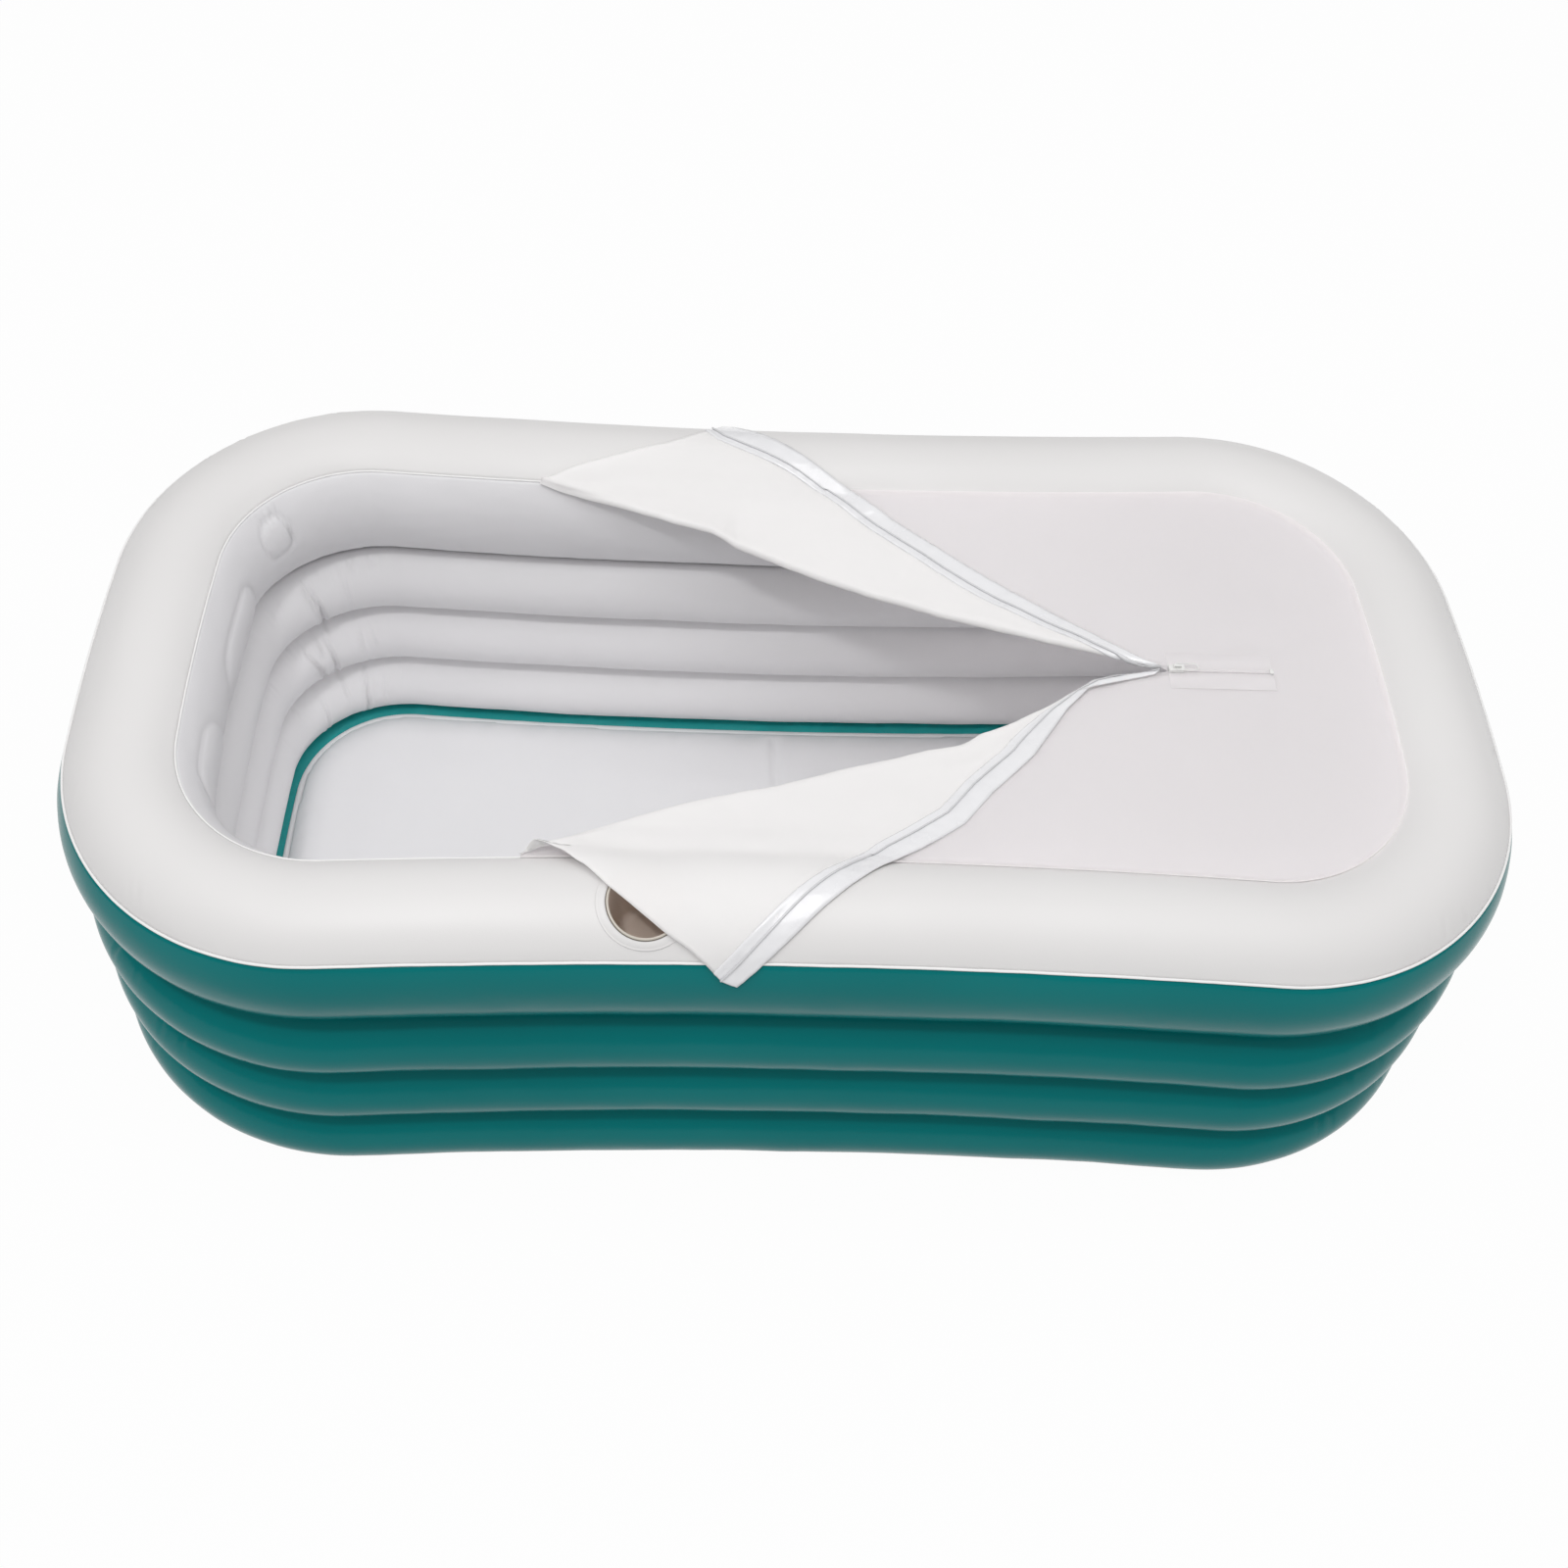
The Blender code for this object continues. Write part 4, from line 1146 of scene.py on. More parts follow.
        def rise(place: Vector) -> float:
            """Movement of the inner film.

            Args:
                place: a place on the film.

            Returns:
                Metres along the normal.
            """
            spot = PLAN.spot(place)
            foot = smooth(0, 0.02, place.z)
            body = self.swell * ripple(spot, place.z * 1.5, 0.10, 13) + \
                0.35 * self.swell * ripple(spot, place.z * 2, 0.03, 19)
            move = body + self.puckers(spot, place.z, 6)
            if place.z > web:
                run = SECTION.run(spot.offset, place.z)
                edge = smooth(0, 0.010, -SECTION.inner_run - run)
                move += top_creases.height(spot.lap, run)
                move += sum(b.lift(spot.lap, run) for b in bulges)
                return edge * move
            return foot * (move + low_creases.height(spot.lap, place.z))

        # The lower rings take the inner film's painted-light copies, lighter towards the floor.
        self.rings_of("inner", -1, SECTION.top_ring(start, -1, self.top_steps + 8),
                      (INNER, *INNER_RINGS_PAINTED_LIGHT), Slot.INNER, "inner_wall", rise)

    def bead(self, name: str, run: float, radius: float, lift: float, finish: Finish,
             node: str) -> None:
        """Build a round welded bead along a seam of the top ring.

        Args:
            name: the piece's name.
            run: the seam's run from the crown.
            radius: the bead's radius.
            lift: height of its middle over the film.
            finish: its material.
            node: the CAD node that it stands for.
        """
        offset, height = SECTION.rim(SECTION.angle(run), lift)
        section = [(offset + radius * math.cos(math.tau * i / 12),
                    height + radius * math.sin(math.tau * i / 12)) for i in range(12)]
        bm = PLAN.sweep(section, self.step, closed=True, corner_step=self.corner_step)
        for vert in bm.verts:
            spot = PLAN.spot(vert.co)
            vert.co.z += 0.35 * radius * ripple(spot, 0, 0.05, 4)
            vert.co.z += 0.25 * radius * ripple(spot, 0, 0.013, 6)
        add_piece(name, bm, finish, Slot.WHITE, replaced=(node,))

    def build(self, cup: "CupHolder") -> None:
        """Build the films and beads, and dress the webs.

        Args:
            cup: the cup holder that is let into the rim.
        """
        self.outer_film()
        self.rim_film(cup)
        self.inner_film()
        self.bead("white_piping", SECTION.outer_run, 0.0015, 0.0007, PIPING, "outer_seam")
        self.bead("inner_bead", -SECTION.inner_run, 0.0011, 0.0003, PIPING, "inner_seam")
        dress(("web_lower", "web_middle", "web_upper"), WEB)


# Floor


@dataclass
class Floor:
    """Base film with its teal border, and the white floor pad on it."""
    step: float = 0.0085
    inset: float = 0.0735
    hem: float = 0.009
    hem_top: float = 0.0032
    low: float = 0.0008
    shoulder: float = 0.060
    shoulder_height: float = 0.0300
    crown: float = 0.036
    voxel: float = 0.0052
    crease_x: float = 0.0055

    def base(self) -> None:
        """Build the film under the tub."""
        edge = SECTION.crease_reach + 0.004
        bm = PLAN.sweep([(edge, 0.0), (edge, 0.0005)], self.step, fill=True)
        add_piece("base_film", bm, TEAL, Slot.TEAL, replaced=("base_sheet",))

    def border(self) -> None:
        """Build the teal strip that shows between the wall's foot and the pad."""
        profile = ((0.0430, 0.0010), (0.0480, 0.0024), (0.0530, 0.0040), (0.0590, 0.0048),
                   (0.0640, 0.0042), (0.0690, 0.0028), (0.0730, 0.0014), (0.0780, 0.0006),
                   (0.0830, 0.0005))
        bm = PLAN.sweep([(-offset, height) for offset, height in profile], 0.004)
        face_towards(bm, lambda _: UP)

        def rise(place: Vector) -> float:
            """Fine gathers across the strip.

            Args:
                place: a place on the strip.

            Returns:
                Metres along the normal.
            """
            spot = PLAN.spot(place)
            share = smooth(0.044, 0.058, -spot.offset) * smooth(-0.072, -0.062, spot.offset)
            lean = replace(spot, lap=spot.lap - 0.5 * spot.offset)
            return share * (0.0011 * ripple(lean, spot.offset * 0.2, 0.012, 1)
                            + 0.0012 * ripple(spot, 0, 0.07, 3))

        move_along_normals(bm, rise)
        # The strip takes the teal film's lighter copy, which is painted light.
        add_piece("teal_border", bm, TEAL_BORDER_PAINTED_LIGHT, Slot.TEAL, thickness=0.0004)

    def hem_band(self) -> None:
        """Build the pad's flat welded hem."""
        outer, inner = -self.inset, -self.inset - self.hem
        section = [(outer, self.low), (outer + 0.0003, self.hem_top * 0.6),
                   (outer - 0.0010, self.hem_top + 0.0002), (inner, self.hem_top),
                   (inner, self.low)]
        bm = PLAN.sweep(section, 0.005, closed=True)
        for vert in bm.verts:
            spot = PLAN.spot(vert.co)
            wave = 0.0005 * (1 + ripple(spot, 0, 0.030, 8))
            vert.co.z += wave * smooth(self.low, self.hem_top, vert.co.z)
            vert.co.x += self.drawn_in(vert.co)
        add_piece("floor_hem", bm, FLOOR, Slot.FLOOR)

    def drawn_in(self, place: Vector) -> float:
        """How far the pad's edge lies further in at the head end."""
        return 0.004 * smooth(0.40, 0.66, -place.x)

    def pad(self) -> None:
        """Build the floor pad: crowned, with gathers at its edge and one crease across."""
        edge = -self.inset - self.hem + 0.0058
        section = [(edge, self.low + 0.0002)]
        for step in range(11):
            share = step / 10
            rise = 0.3 * share + 0.7 * (1 - (1 - share) ** 2)
            section.append((edge - self.shoulder * share,
                            mix(self.hem_top, self.shoulder_height, rise)))
        section.append((edge - self.shoulder - 0.05, self.crown))
        bm = PLAN.sweep(section, self.step, fill=True)
        piece = add_piece("floor_pad", bm, FLOOR, Slot.FLOOR, replaced=("floor_cushion",))
        remesh = piece.modifiers.new("voxels", 'REMESH')
        remesh.mode = 'VOXEL'
        remesh.voxel_size = self.voxel
        remesh.use_smooth_shade = True
        mesh = bpy.data.meshes.new_from_object(
            piece.evaluated_get(bpy.context.evaluated_depsgraph_get()))
        piece.modifiers.clear()
        old, piece.data = piece.data, mesh
        bpy.data.meshes.remove(old)
        mesh.name = "floor_pad"
        work = bmesh.new()
        work.from_mesh(mesh)
        for _ in range(4):
            bmesh.ops.smooth_vert(work, verts=work.verts, factor=0.5, use_axis_x=True,
                                  use_axis_y=True, use_axis_z=True)
        for vert in work.verts:
            if vert.co.z > 0.005:
                vert.co.z += self.relief(vert.co)
            else:
                vert.co.z = max(vert.co.z, self.low)
            vert.co.x += self.drawn_in(vert.co)
        work.to_mesh(mesh)
        work.free()
        mesh.shade_smooth()

    def relief(self, place: Vector) -> float:
        """Give the pad's relief at a place on its top.

        Args:
            place: the place.

        Returns:
            Metres up.
        """
        spot = PLAN.spot(place)
        inward = -spot.offset - self.inset - self.hem
        gather = math.exp(-max(inward, 0) / 0.020) * smooth(-0.002, 0.008, inward)
        move = 0.0030 * gather * ripple(spot, 0, 0.020, 2)
        move += 0.0016 * ripple(spot, inward, 0.09, 7) * smooth(0.0, 0.05, inward)
        gap = abs(place.x - self.crease_x - 0.002 * math.sin(place.y * 21))
        move -= 0.0050 * math.exp(-(gap / 0.0048) ** 2) * smooth(0.0, 0.03, inward)
        move += 0.0010 * math.exp(-((gap - 0.011) / 0.008) ** 2)
        move += 0.0010 * noise.noise(Vector((place.x * 14, place.y * 9, 2)))
        return move * smooth(0.004, 0.015, place.z)

    def build(self) -> None:
        """Build the base, its border, the hem and the pad."""
        self.base()
        self.border()
        self.hem_band()
        self.pad()


# Cover and flaps


SLIDER_X = 0.424
SEAM_ANGLE = SECTION.angle(-SECTION.inner_run)
SEAM_OFFSET = SECTION.rim(SEAM_ANGLE)[0]
COVER_OFFSET, COVER_HEIGHT = SECTION.rim(SEAM_ANGLE, 0.00175)
COVER_EDGE = COVER_OFFSET - 0.0015


@dataclass(frozen=True)
class Bridge:
    """Section of a film laid from the level cover over the seam onto the rim, its bend eased."""
    lift: float
    level: float
    spread: float
    step: float = 0.0005

    @cached_property
    def table(self) -> tuple[np.ndarray, np.ndarray, np.ndarray]:
        """Runs from the seam, rimward positive, with the film's offset and height at each.

        Returns:
            The three columns.
        """
        runs = np.arange(-0.16, 0.32, self.step)
        rim = np.array([SECTION.rim(SECTION.angle(max(run, 0) - SECTION.inner_run), self.lift)
                        for run in runs])
        offsets = np.where(runs > 0, rim[:, 0], SEAM_OFFSET + runs)
        heights = np.where(runs > 0, rim[:, 1], self.level)
        half = int(3 * self.spread / self.step)
        weights = np.exp(-(np.arange(-half, half + 1) * self.step / self.spread) ** 2 / 2)
        weights /= weights.sum()
        return (runs[half:-half], np.convolve(offsets, weights, 'valid'),
                np.convolve(heights, weights, 'valid'))

    def at(self, run: float) -> Pair:
        """Give the film's offset from the seam and its height at a run from the seam.

        Args:
            run: the run, rimward positive.

        Returns:
            The offset and the height.
        """
        runs, offsets, heights = self.table
        if run < runs[0]:
            return run, self.level
        return (float(np.interp(run, runs, offsets)) - SEAM_OFFSET,
                float(np.interp(run, runs, heights)))


COVER_BRIDGE = Bridge(0.0006, COVER_HEIGHT, 0.0030)
FLAP_BRIDGE = Bridge(0.0042, COVER_HEIGHT + 0.0016, 0.0120)


def along_curve(points: Sequence[Pair], x: float) -> float:
    """Read a curve given by points of rising x, straight between them."""
    xs, ys = zip(*points)
    return float(np.interp(x, xs, ys))


@dataclass(frozen=True)
class Fold:
    """One open edge of the cover: where its film turns back over itself."""
    side: int
    start_x: float
    sway: tuple
    hang: tuple
    roll: float = 0.0042
    head_roll: float = 0.0020
    head_length: float = 0.05

    @cached_property
    def start(self) -> Vector:
        """The fold's place on the seam, on the back side."""
        return PLAN.long_side(self.start_x, COVER_EDGE, 0, 1).to_2d()

    def share(self, x: float) -> float:
        """Share of the way from the seam to the slider."""
        return min(max((x - self.start.x) / (SLIDER_X - self.start.x), 0.0), 1.0)

    def edge(self, x: float) -> float:
        """Distance of the fold from the tub's middle at a place along it.

        Args:
            x: the place.

        Returns:
            The distance.
        """
        share = self.share(x)
        fine = 0.0020 * noise.noise(Vector((x * 17, self.side * 3, 0))) + \
            0.0012 * noise.noise(Vector((x * 60, self.side * 5, 0)))
        return self.start.y * (1 - share) + along_curve(self.sway, x) + \
            fine * math.sin(math.pi * share)

    def dip(self, x: float) -> float:
        """How far the fold hangs below the seam's level."""
        return along_curve(self.hang, x)

    def radius(self, x: float) -> float:
        """Radius of the film's turn at a place along the fold."""
        uneven = 0.80 + 0.45 * abs(noise.noise(Vector((x * 11, 5, 5))))
        return self.roll * uneven + self.head_roll * math.exp(-self.share(x) / self.head_length)

    def sink(self, x: float, y: float, eased: float = 0.0) -> float:
        """Give how far the film hangs below the seam's level.

        Args:
            x: place along the tub.
            y: distance from the tub's middle.
            eased: width by the seam over which the hang starts softly.

        Returns:
            Metres down: the fold's dip, less towards the seam.
        """
        if not self.start.x < x < SLIDER_X:
            return 0.0
        seam = PLAN.long_side(x, COVER_EDGE, 0, 1).y
        near = self.edge(x)
        share = min(max((seam - y) / max(seam - near, 1e-4), 0.0), 1.0)
        soft = smooth(0, eased, seam - y) if eased else 1
        return self.dip(x) * share ** 1.15 * soft


BACK_FOLD = Fold(1, -0.300, ((-0.302, 0.0), (0.424, 0.0)), (
    (-0.302, 0.0), (-0.279, 0.0050), (-0.244, 0.0065), (-0.184, 0.0040), (-0.133, 0.0030),
    (-0.094, 0.0020), (-0.080, 0.0070), (-0.066, 0.0150), (-0.022, 0.0205), (0.033, 0.0275),
    (0.103, 0.0290), (0.174, 0.0280), (0.228, 0.0235), (0.293, 0.0170), (0.357, 0.0077),
    (0.413, 0.0013), (0.424, 0.0)), head_roll=-0.0028, head_length=0.07)
FRONT_FOLD = Fold(-1, -0.286, (
    (-0.288, 0.0), (-0.269, -0.006), (-0.206, -0.0095), (-0.125, -0.0133), (-0.070, -0.0100),
    (-0.025, -0.0067), (0.044, -0.0061), (0.110, 0.0), (0.160, 0.0065), (0.178, 0.0092),
    (0.189, 0.0070), (0.202, 0.0026), (0.227, 0.0040), (0.290, -0.0042), (0.334, -0.0186),
    (0.371, -0.0125), (0.412, -0.0035), (0.424, 0.0)), (
    (-0.288, 0.0), (-0.250, 0.006), (-0.200, 0.010), (-0.125, 0.014), (-0.025, 0.022),
    (0.044, 0.024), (0.110, 0.024), (0.178, 0.022), (0.227, 0.019), (0.290, 0.012),
    (0.334, 0.006), (0.371, 0.003), (0.424, 0.0)), head_roll=0.0048, head_length=0.045)


@dataclass
class Cover:
    """Cover film between the inner seam and the open edges, one piece past the slider."""
    thickness: float = 0.0008
    rows: int = 190
    columns: int = 54
    open_share: float = 143 / 190
    lap: float = 0.0075

    @cached_property
    def end_x(self) -> float:
        """Where the seam crosses the tub's middle at the foot end."""
        return PLAN.half_length - PLAN.reach + COVER_EDGE

    def seam_point(self, share: float, start_x: float) -> tuple[Vector, Vector]:
        """Give a place of the seam, from the fold's start (0) to the foot end's middle (1).

        Args:
            share: share of the way.
            start_x: where the fold starts.

        Returns:
            The place and the way outward, on the back side.
        """
        (waist, waist_turn), (corner, corner_turn), (tip, end_turn) = PLAN.arcs
        radii = (PLAN.waist_radius - COVER_EDGE, PLAN.corner_radius + COVER_EDGE,
                 PLAN.end_radius + COVER_EDGE)
        back = math.asin(-start_x / radii[0])
        parts = (radii[0] * (back + waist_turn), radii[1] * corner_turn, radii[2] * end_turn)
        run = share * sum(parts)
        if run <= parts[0]:
            turn = run / radii[0] - back
            out = Vector((-math.sin(turn), math.cos(turn)))
            return waist - radii[0] * out, out
        run -= parts[0]
        if run <= parts[1]:
            turn = math.pi / 2 + waist_turn - run / radii[1]
            out = way(turn)
            return corner + radii[1] * out, out
        out = way(end_turn * (1 - (run - parts[1]) / parts[2]))
        return tip + radii[2] * out, out

    def middle_point(self, share: float, fold: Fold) -> Vector:
        """Place on the open edge, then on the tub's middle line, level with a share.

        Args:
            share: share of the way from the fold's start to the foot end.
            fold: the open edge.

        Returns:
            The place, on the back side.
        """
        if share < self.open_share:
            x = mix(fold.start.x, SLIDER_X, share / self.open_share)
            inside = 0.6 * fold.radius(x) * min(1, fold.share(x) * 12)
            return Vector((x, max(fold.edge(x) + inside, 0.0)))
        past = (share - self.open_share) / (1 - self.open_share)
        return Vector((mix(SLIDER_X, self.end_x, past), 0.0))

    def relief(self, x: float, y: float, fold: Fold) -> float:
        """Give the film's relief: hanging at the open edge, softly uneven.

        Args:
            x: place along the tub.
            y: distance from its middle.
            fold: the open edge on that side.

        Returns:
            Metres above the seam's level.
        """
        spot = PLAN.spot(Vector((x, y, 0)))
        inward = max(COVER_EDGE - spot.offset, 0)
        calm = smooth(0.004, 0.10, inward)
        soft = 0.0016 * noise.noise(Vector((x * 7, fold.side * y * 9, 4)))
        soft += 0.0007 * noise.noise(Vector((x * 23, fold.side * y * 19, 8)))
        settle = 0.0030 * smooth(0.0, 0.12, inward) * smooth(SLIDER_X, SLIDER_X + 0.1, x)
        zip_calm = smooth(0.014, 0.05, y) if x > SLIDER_X - 0.05 else 1
        return -fold.sink(x, y) - settle * zip_calm + soft * calm * zip_calm

    def build(self) -> None:
        """Build the cover film."""
        whole = bmesh.new()
        for fold in (BACK_FOLD, FRONT_FOLD):
            def place(row: float, column: float) -> Vector:
                """Corner between the open edge and the rim.

                Args:
                    row: share along the cover.
                    column: share from the open edge to the rim.

                Returns:
                    The corner's place.
                """
                inner = self.middle_point(row, fold)
                seam, out = self.seam_point(row, fold.start.x)
                width = (seam - inner).length
                beyond = (1 - (1 - column) ** 1.6) * (width + self.lap) - width
                shift, height = COVER_BRIDGE.at(beyond)
                if beyond > 0:
                    flat = seam + out * shift
                else:
                    flat = seam + (inner - seam) * (max(-shift, 0) / max(width, 1e-6))
                    height += self.relief(flat.x, flat.y, fold)
                return Vector((flat.x, fold.side * flat.y, height))
            half = patch(self.rows, self.columns, place)
            mesh = bpy.data.meshes.new("half_cover")
            half.to_mesh(mesh)
            half.free()
            whole.from_mesh(mesh)
            bpy.data.meshes.remove(mesh)
        bmesh.ops.remove_doubles(whole, verts=whole.verts, dist=MERGE)
        bmesh.ops.dissolve_degenerate(whole, dist=MERGE, edges=whole.edges)
        bmesh.ops.recalc_face_normals(whole, faces=whole.faces)
        face_towards(whole, lambda _: UP)
        area = sum(f.calc_area() for f in whole.faces)
        piece = add_piece("cover_film", whole, COVER, Slot.COVER, replaced=("cover_sheet",),
                          thickness=self.thickness, even=False)


@dataclass
class Flap:
    """One side of the open cover, folded back over the rim, with its zip tape and rail."""
    fold: Fold
    body: str
    node: str
    free_edge: tuple
    head_edge: tuple
    film: float = 0.0005
    tape_width: float = 0.032
    tape_point_width: float = 0.012
    taper: float = 0.7
    rail_inset: float = 0.010
    rows: int = 170
    roll_steps: int = 12
    spread_steps: int = 56

    def row_ends(self, share: float) -> tuple[Vector, Vector]:
        """Give the flat ends of one row of the flap.

        Args:
            share: share of the way from the head end to the slider.

        Returns:
            The fold's place and the free edge's place, on the back side.
        """
        x = mix(self.head_edge[0][0], SLIDER_X - 0.012, share)
        fold = Vector((x, self.fold.edge(x)))
        free_x = mix(self.free_edge[0][0], self.free_edge[-1][0], share)
        free = Vector((free_x, along_curve(self.free_edge, free_x)))
        return fold, free

    def narrowing(self, share: float) -> float:
        """Share of the tape's full width at a place along the flap."""
        reach = max(share - self.taper, 0) / (1 - self.taper)
        return 1 - (1 - self.tape_point_width / self.tape_width) * reach

    def head_bow(self, share: float, across: float) -> float:
        """Sideways bow of the head edge from the straight line between its corners.

        Args:
            share: share along the flap.
            across: share across it.

        Returns:
            Metres off the line.
        """
        start, end = Vector(self.head_edge[0]), Vector(self.head_edge[-1])
        x = mix(start.x, end.x, across)
        bow = along_curve(self.head_edge, x) - mix(start.y, end.y, across)
        return bow * (1 - smooth(0, 0.25, share))

    def surface(self, share: float, across: float, lift: float) -> Vector:
        """Give a point on the flap.

        Args:
            share: share along the flap, from the head end to the slider.
            across: distance from the fold, over the film.
            lift: distance above the film.

        Returns:
            The place.
        """
        fold, free = self.row_ends(share)
        width = (free - fold).length
        out = (free - fold) / width
        roll = self.turn_radius(share)
        turn_length = math.pi * roll
        opened = 1 - smooth(0, 0.15, share)
        turned = mix(roll, 2.4 * roll, opened)
        if across < turn_length:
            turn = across / roll
            level = mix(roll * (1 - math.sin(turn)), 2.4 * roll * turn / math.pi, opened)
            rise = roll * (1 - math.cos(turn))
            level, rise = level - lift * math.sin(turn), rise - lift * math.cos(turn)
        else:
            level = turned + (across - turn_length) * (width - turned) / max(width - roll, 1e-6)
            rise = lift + 2 * roll * math.exp(-(level - turned) / 0.035)
        flat = fold + out * level
        across_share = min(max(level / width, 0), 1)
        flat.y += self.head_bow(share, across_share) * smooth(0.5, 1.5, across / turn_length)
        place = self.drape(flat.x, flat.y, rise, smooth(0.6, 1.6, across / turn_length))
        return place + Vector((0, 0, self.wave(share, across_share, width)))

    def wave(self, share: float, across_share: float, width: float) -> float:
        """Soft folds of the flap.

        Args:
            share: share along the flap.
            across_share: share across it.
            width: width of the flap there.

        Returns:
            Metres up.
        """
        calm = math.sin(math.pi * min(max(across_share, 0), 1)) ** 0.7 * min(1, width / 0.1)
        side = self.fold.side
        folds = 0.5 + noise.noise(Vector((share * 5.5, across_share * 1.2, side * 7)))
        fine = noise.noise(Vector((share * 16, across_share * 5, side * 3)))
        curl = 0.0040 * math.exp(-((share - 0.02) / 0.04) ** 2) * math.exp(
            -((across_share - 0.20) / 0.12) ** 2)
        return calm * (0.0042 * folds + 0.0010 * fine) + curl

    def drape(self, x: float, y: float, rise: float, settled: float) -> Vector:
        """Lay a flat point of the flap on the tub.

        Args:
            x: flat place along the tub.
            y: flat distance from its middle.
            rise: distance above the cover or the rim.
            settled: 0 on the fold's turn, 1 where the film lies on the cover or rim.

        Returns:
            The place.
        """
        side = self.fold.side
        seam = PLAN.long_side(x, SEAM_OFFSET, 0, 1).y
        shift, height = FLAP_BRIDGE.at(y - seam)
        height = mix(COVER_BRIDGE.at(y - seam)[1], height, settled)
        height -= self.fold.sink(x, y, 0.04 * settled)
        if y < seam:
            level = PLAN.long_side(x, SEAM_OFFSET, height + rise, side)
            return level + Vector((0, side * shift, 0))
        run = y - seam - SECTION.inner_run
        tilt = SECTION.normal(SECTION.angle(run))
        return PLAN.long_side(x, SEAM_OFFSET + shift + tilt.x * rise, height + tilt.y * rise, side)

    def width(self, share: float) -> float:
        """Length of film from the fold's underside to the free edge."""
        fold, free = self.row_ends(share)
        return (free - fold).length + (math.pi - 1) * self.turn_radius(share)

    def turn_radius(self, share: float) -> float:
        """Radius of the film's turn at a place along the flap."""
        fold, free = self.row_ends(share)
        return self.fold.radius(fold.x) * min(1.0, (free - fold).length / 0.03)

    def cloth(self) -> Piece:
        """Build the flap's film.

        Returns:
            The piece.
        """
        total = self.roll_steps + self.spread_steps

        def place(row: float, column: float) -> Vector:
            """Corner of the film: first round the fold, then out to the free edge.

            Args:
                row: share along the fold.
                column: share over the film from the fold.

            Returns:
                The corner's place.
            """
            step = column * total
            turned = 1.2 * math.pi * self.turn_radius(row)
            if step <= self.roll_steps:
                return self.surface(row, turned * step / self.roll_steps, 0)
            share = (step - self.roll_steps) / self.spread_steps
            return self.surface(row, mix(turned, self.width(row), share), 0)

        bm = patch(self.rows, total, place)
        area = sum(f.calc_area() for f in bm.faces)
        LOG.info("%s: film area %.4f m2", self.node, area)
        piece = add_piece(self.node + "_film", bm, FLAP, Slot.COVER, body=None,
                          replaced=(self.node,), thickness=self.film, even=False)
        return piece

    def band(self, name: str, runs: Sequence[Pair], finish: Finish, thickness: float,
             replaced: Sequence[str], crown: float = 0.0) -> Piece:
        """Build a strip that follows the free edge.

        Args:
            name: the piece's name.
            runs: (distance from the free edge, lift) across the strip.
            finish: its material.
            thickness: its thickness.
            replaced: CAD nodes that it stands for.
            crown: height of its fine waves.

        Returns:
            The piece.
        """
        steps = len(runs) - 1

        def place(row: float, column: float) -> Vector:
            """Corner of the strip.

            Args:
                row: share along the fold.
                column: share across the strip.

            Returns:
                The corner's place.
            """
            run, lift = runs[round(column * steps)]
            across = self.width(row) - run * self.narrowing(row)
            wave = crown * noise.noise(Vector((row * 60, run * 90, self.fold.side)))
            return self.surface(row, across, lift + wave)

        bm = patch(self.rows * 2, steps, place)
        return add_piece(name, bm, finish, Slot.TAPE, body=None, replaced=replaced,
                         thickness=thickness, even=False)

    def rail(self) -> Piece:
        """Build the rail, a low round bar along the tape.

        Returns:
            The piece.
        """
        sides, radius = 8, 0.0011
        seat = self.tape_width - self.rail_inset
        lift = 0.0010 + radius

        def place(row: float, column: float) -> Vector:
            """Corner of the rail's skin.

            Args:
                row: share along the fold.
                column: share of a turn round the rail.

            Returns:
                The corner's place.
            """
            turn = math.tau * column
            across = self.width(row) - seat * self.narrowing(row) + radius * math.cos(turn)
            return self.surface(row, across, lift + radius * math.sin(turn))

        bm = patch(self.rows * 2, sides, place)
        bmesh.ops.remove_doubles(bm, verts=bm.verts, dist=MERGE)
        bmesh.ops.holes_fill(bm, edges=[e for e in bm.edges if e.is_boundary], sides=0)
        bmesh.ops.recalc_face_normals(bm, faces=bm.faces)
        return add_piece(self.node + "_zip_rail", bm, RAIL, Slot.TAPE, body=None,
                         replaced=(self.node + "_rail",))

    def build(self) -> None:
        """Build the flap's film, zip tape and rail, and bake their transforms."""
        over = 0.00050
        weld = [(self.tape_width, over), (self.tape_width - 0.0015, over + 0.0006),
                (self.tape_width - 0.0035, over + 0.0006), (self.tape_width - 0.005, over)]
        runs = weld + [(0.024, over), (0.022, over), (0.020, over), (0.016, over + 0.0002),
                       (0.012, over + 0.0003), (0.008, over + 0.0003), (0.004, over + 0.0001),
                       (0.0, over)]
        pieces = [self.cloth(),
                  self.band(self.node + "_zip_tape", runs, TAPE, 0.0004,
                            (self.node + "_tape",), 0.0006),
                  self.rail()]
        line = Vector((SLIDER_X, 0)) - BACK_FOLD.start
        out = Vector((-line.y, line.x)).normalized()
        start = BACK_FOLD.start - out * 0.006
        end = BACK_FOLD.start + out * 0.040
        for piece in pieces:
            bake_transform(piece)


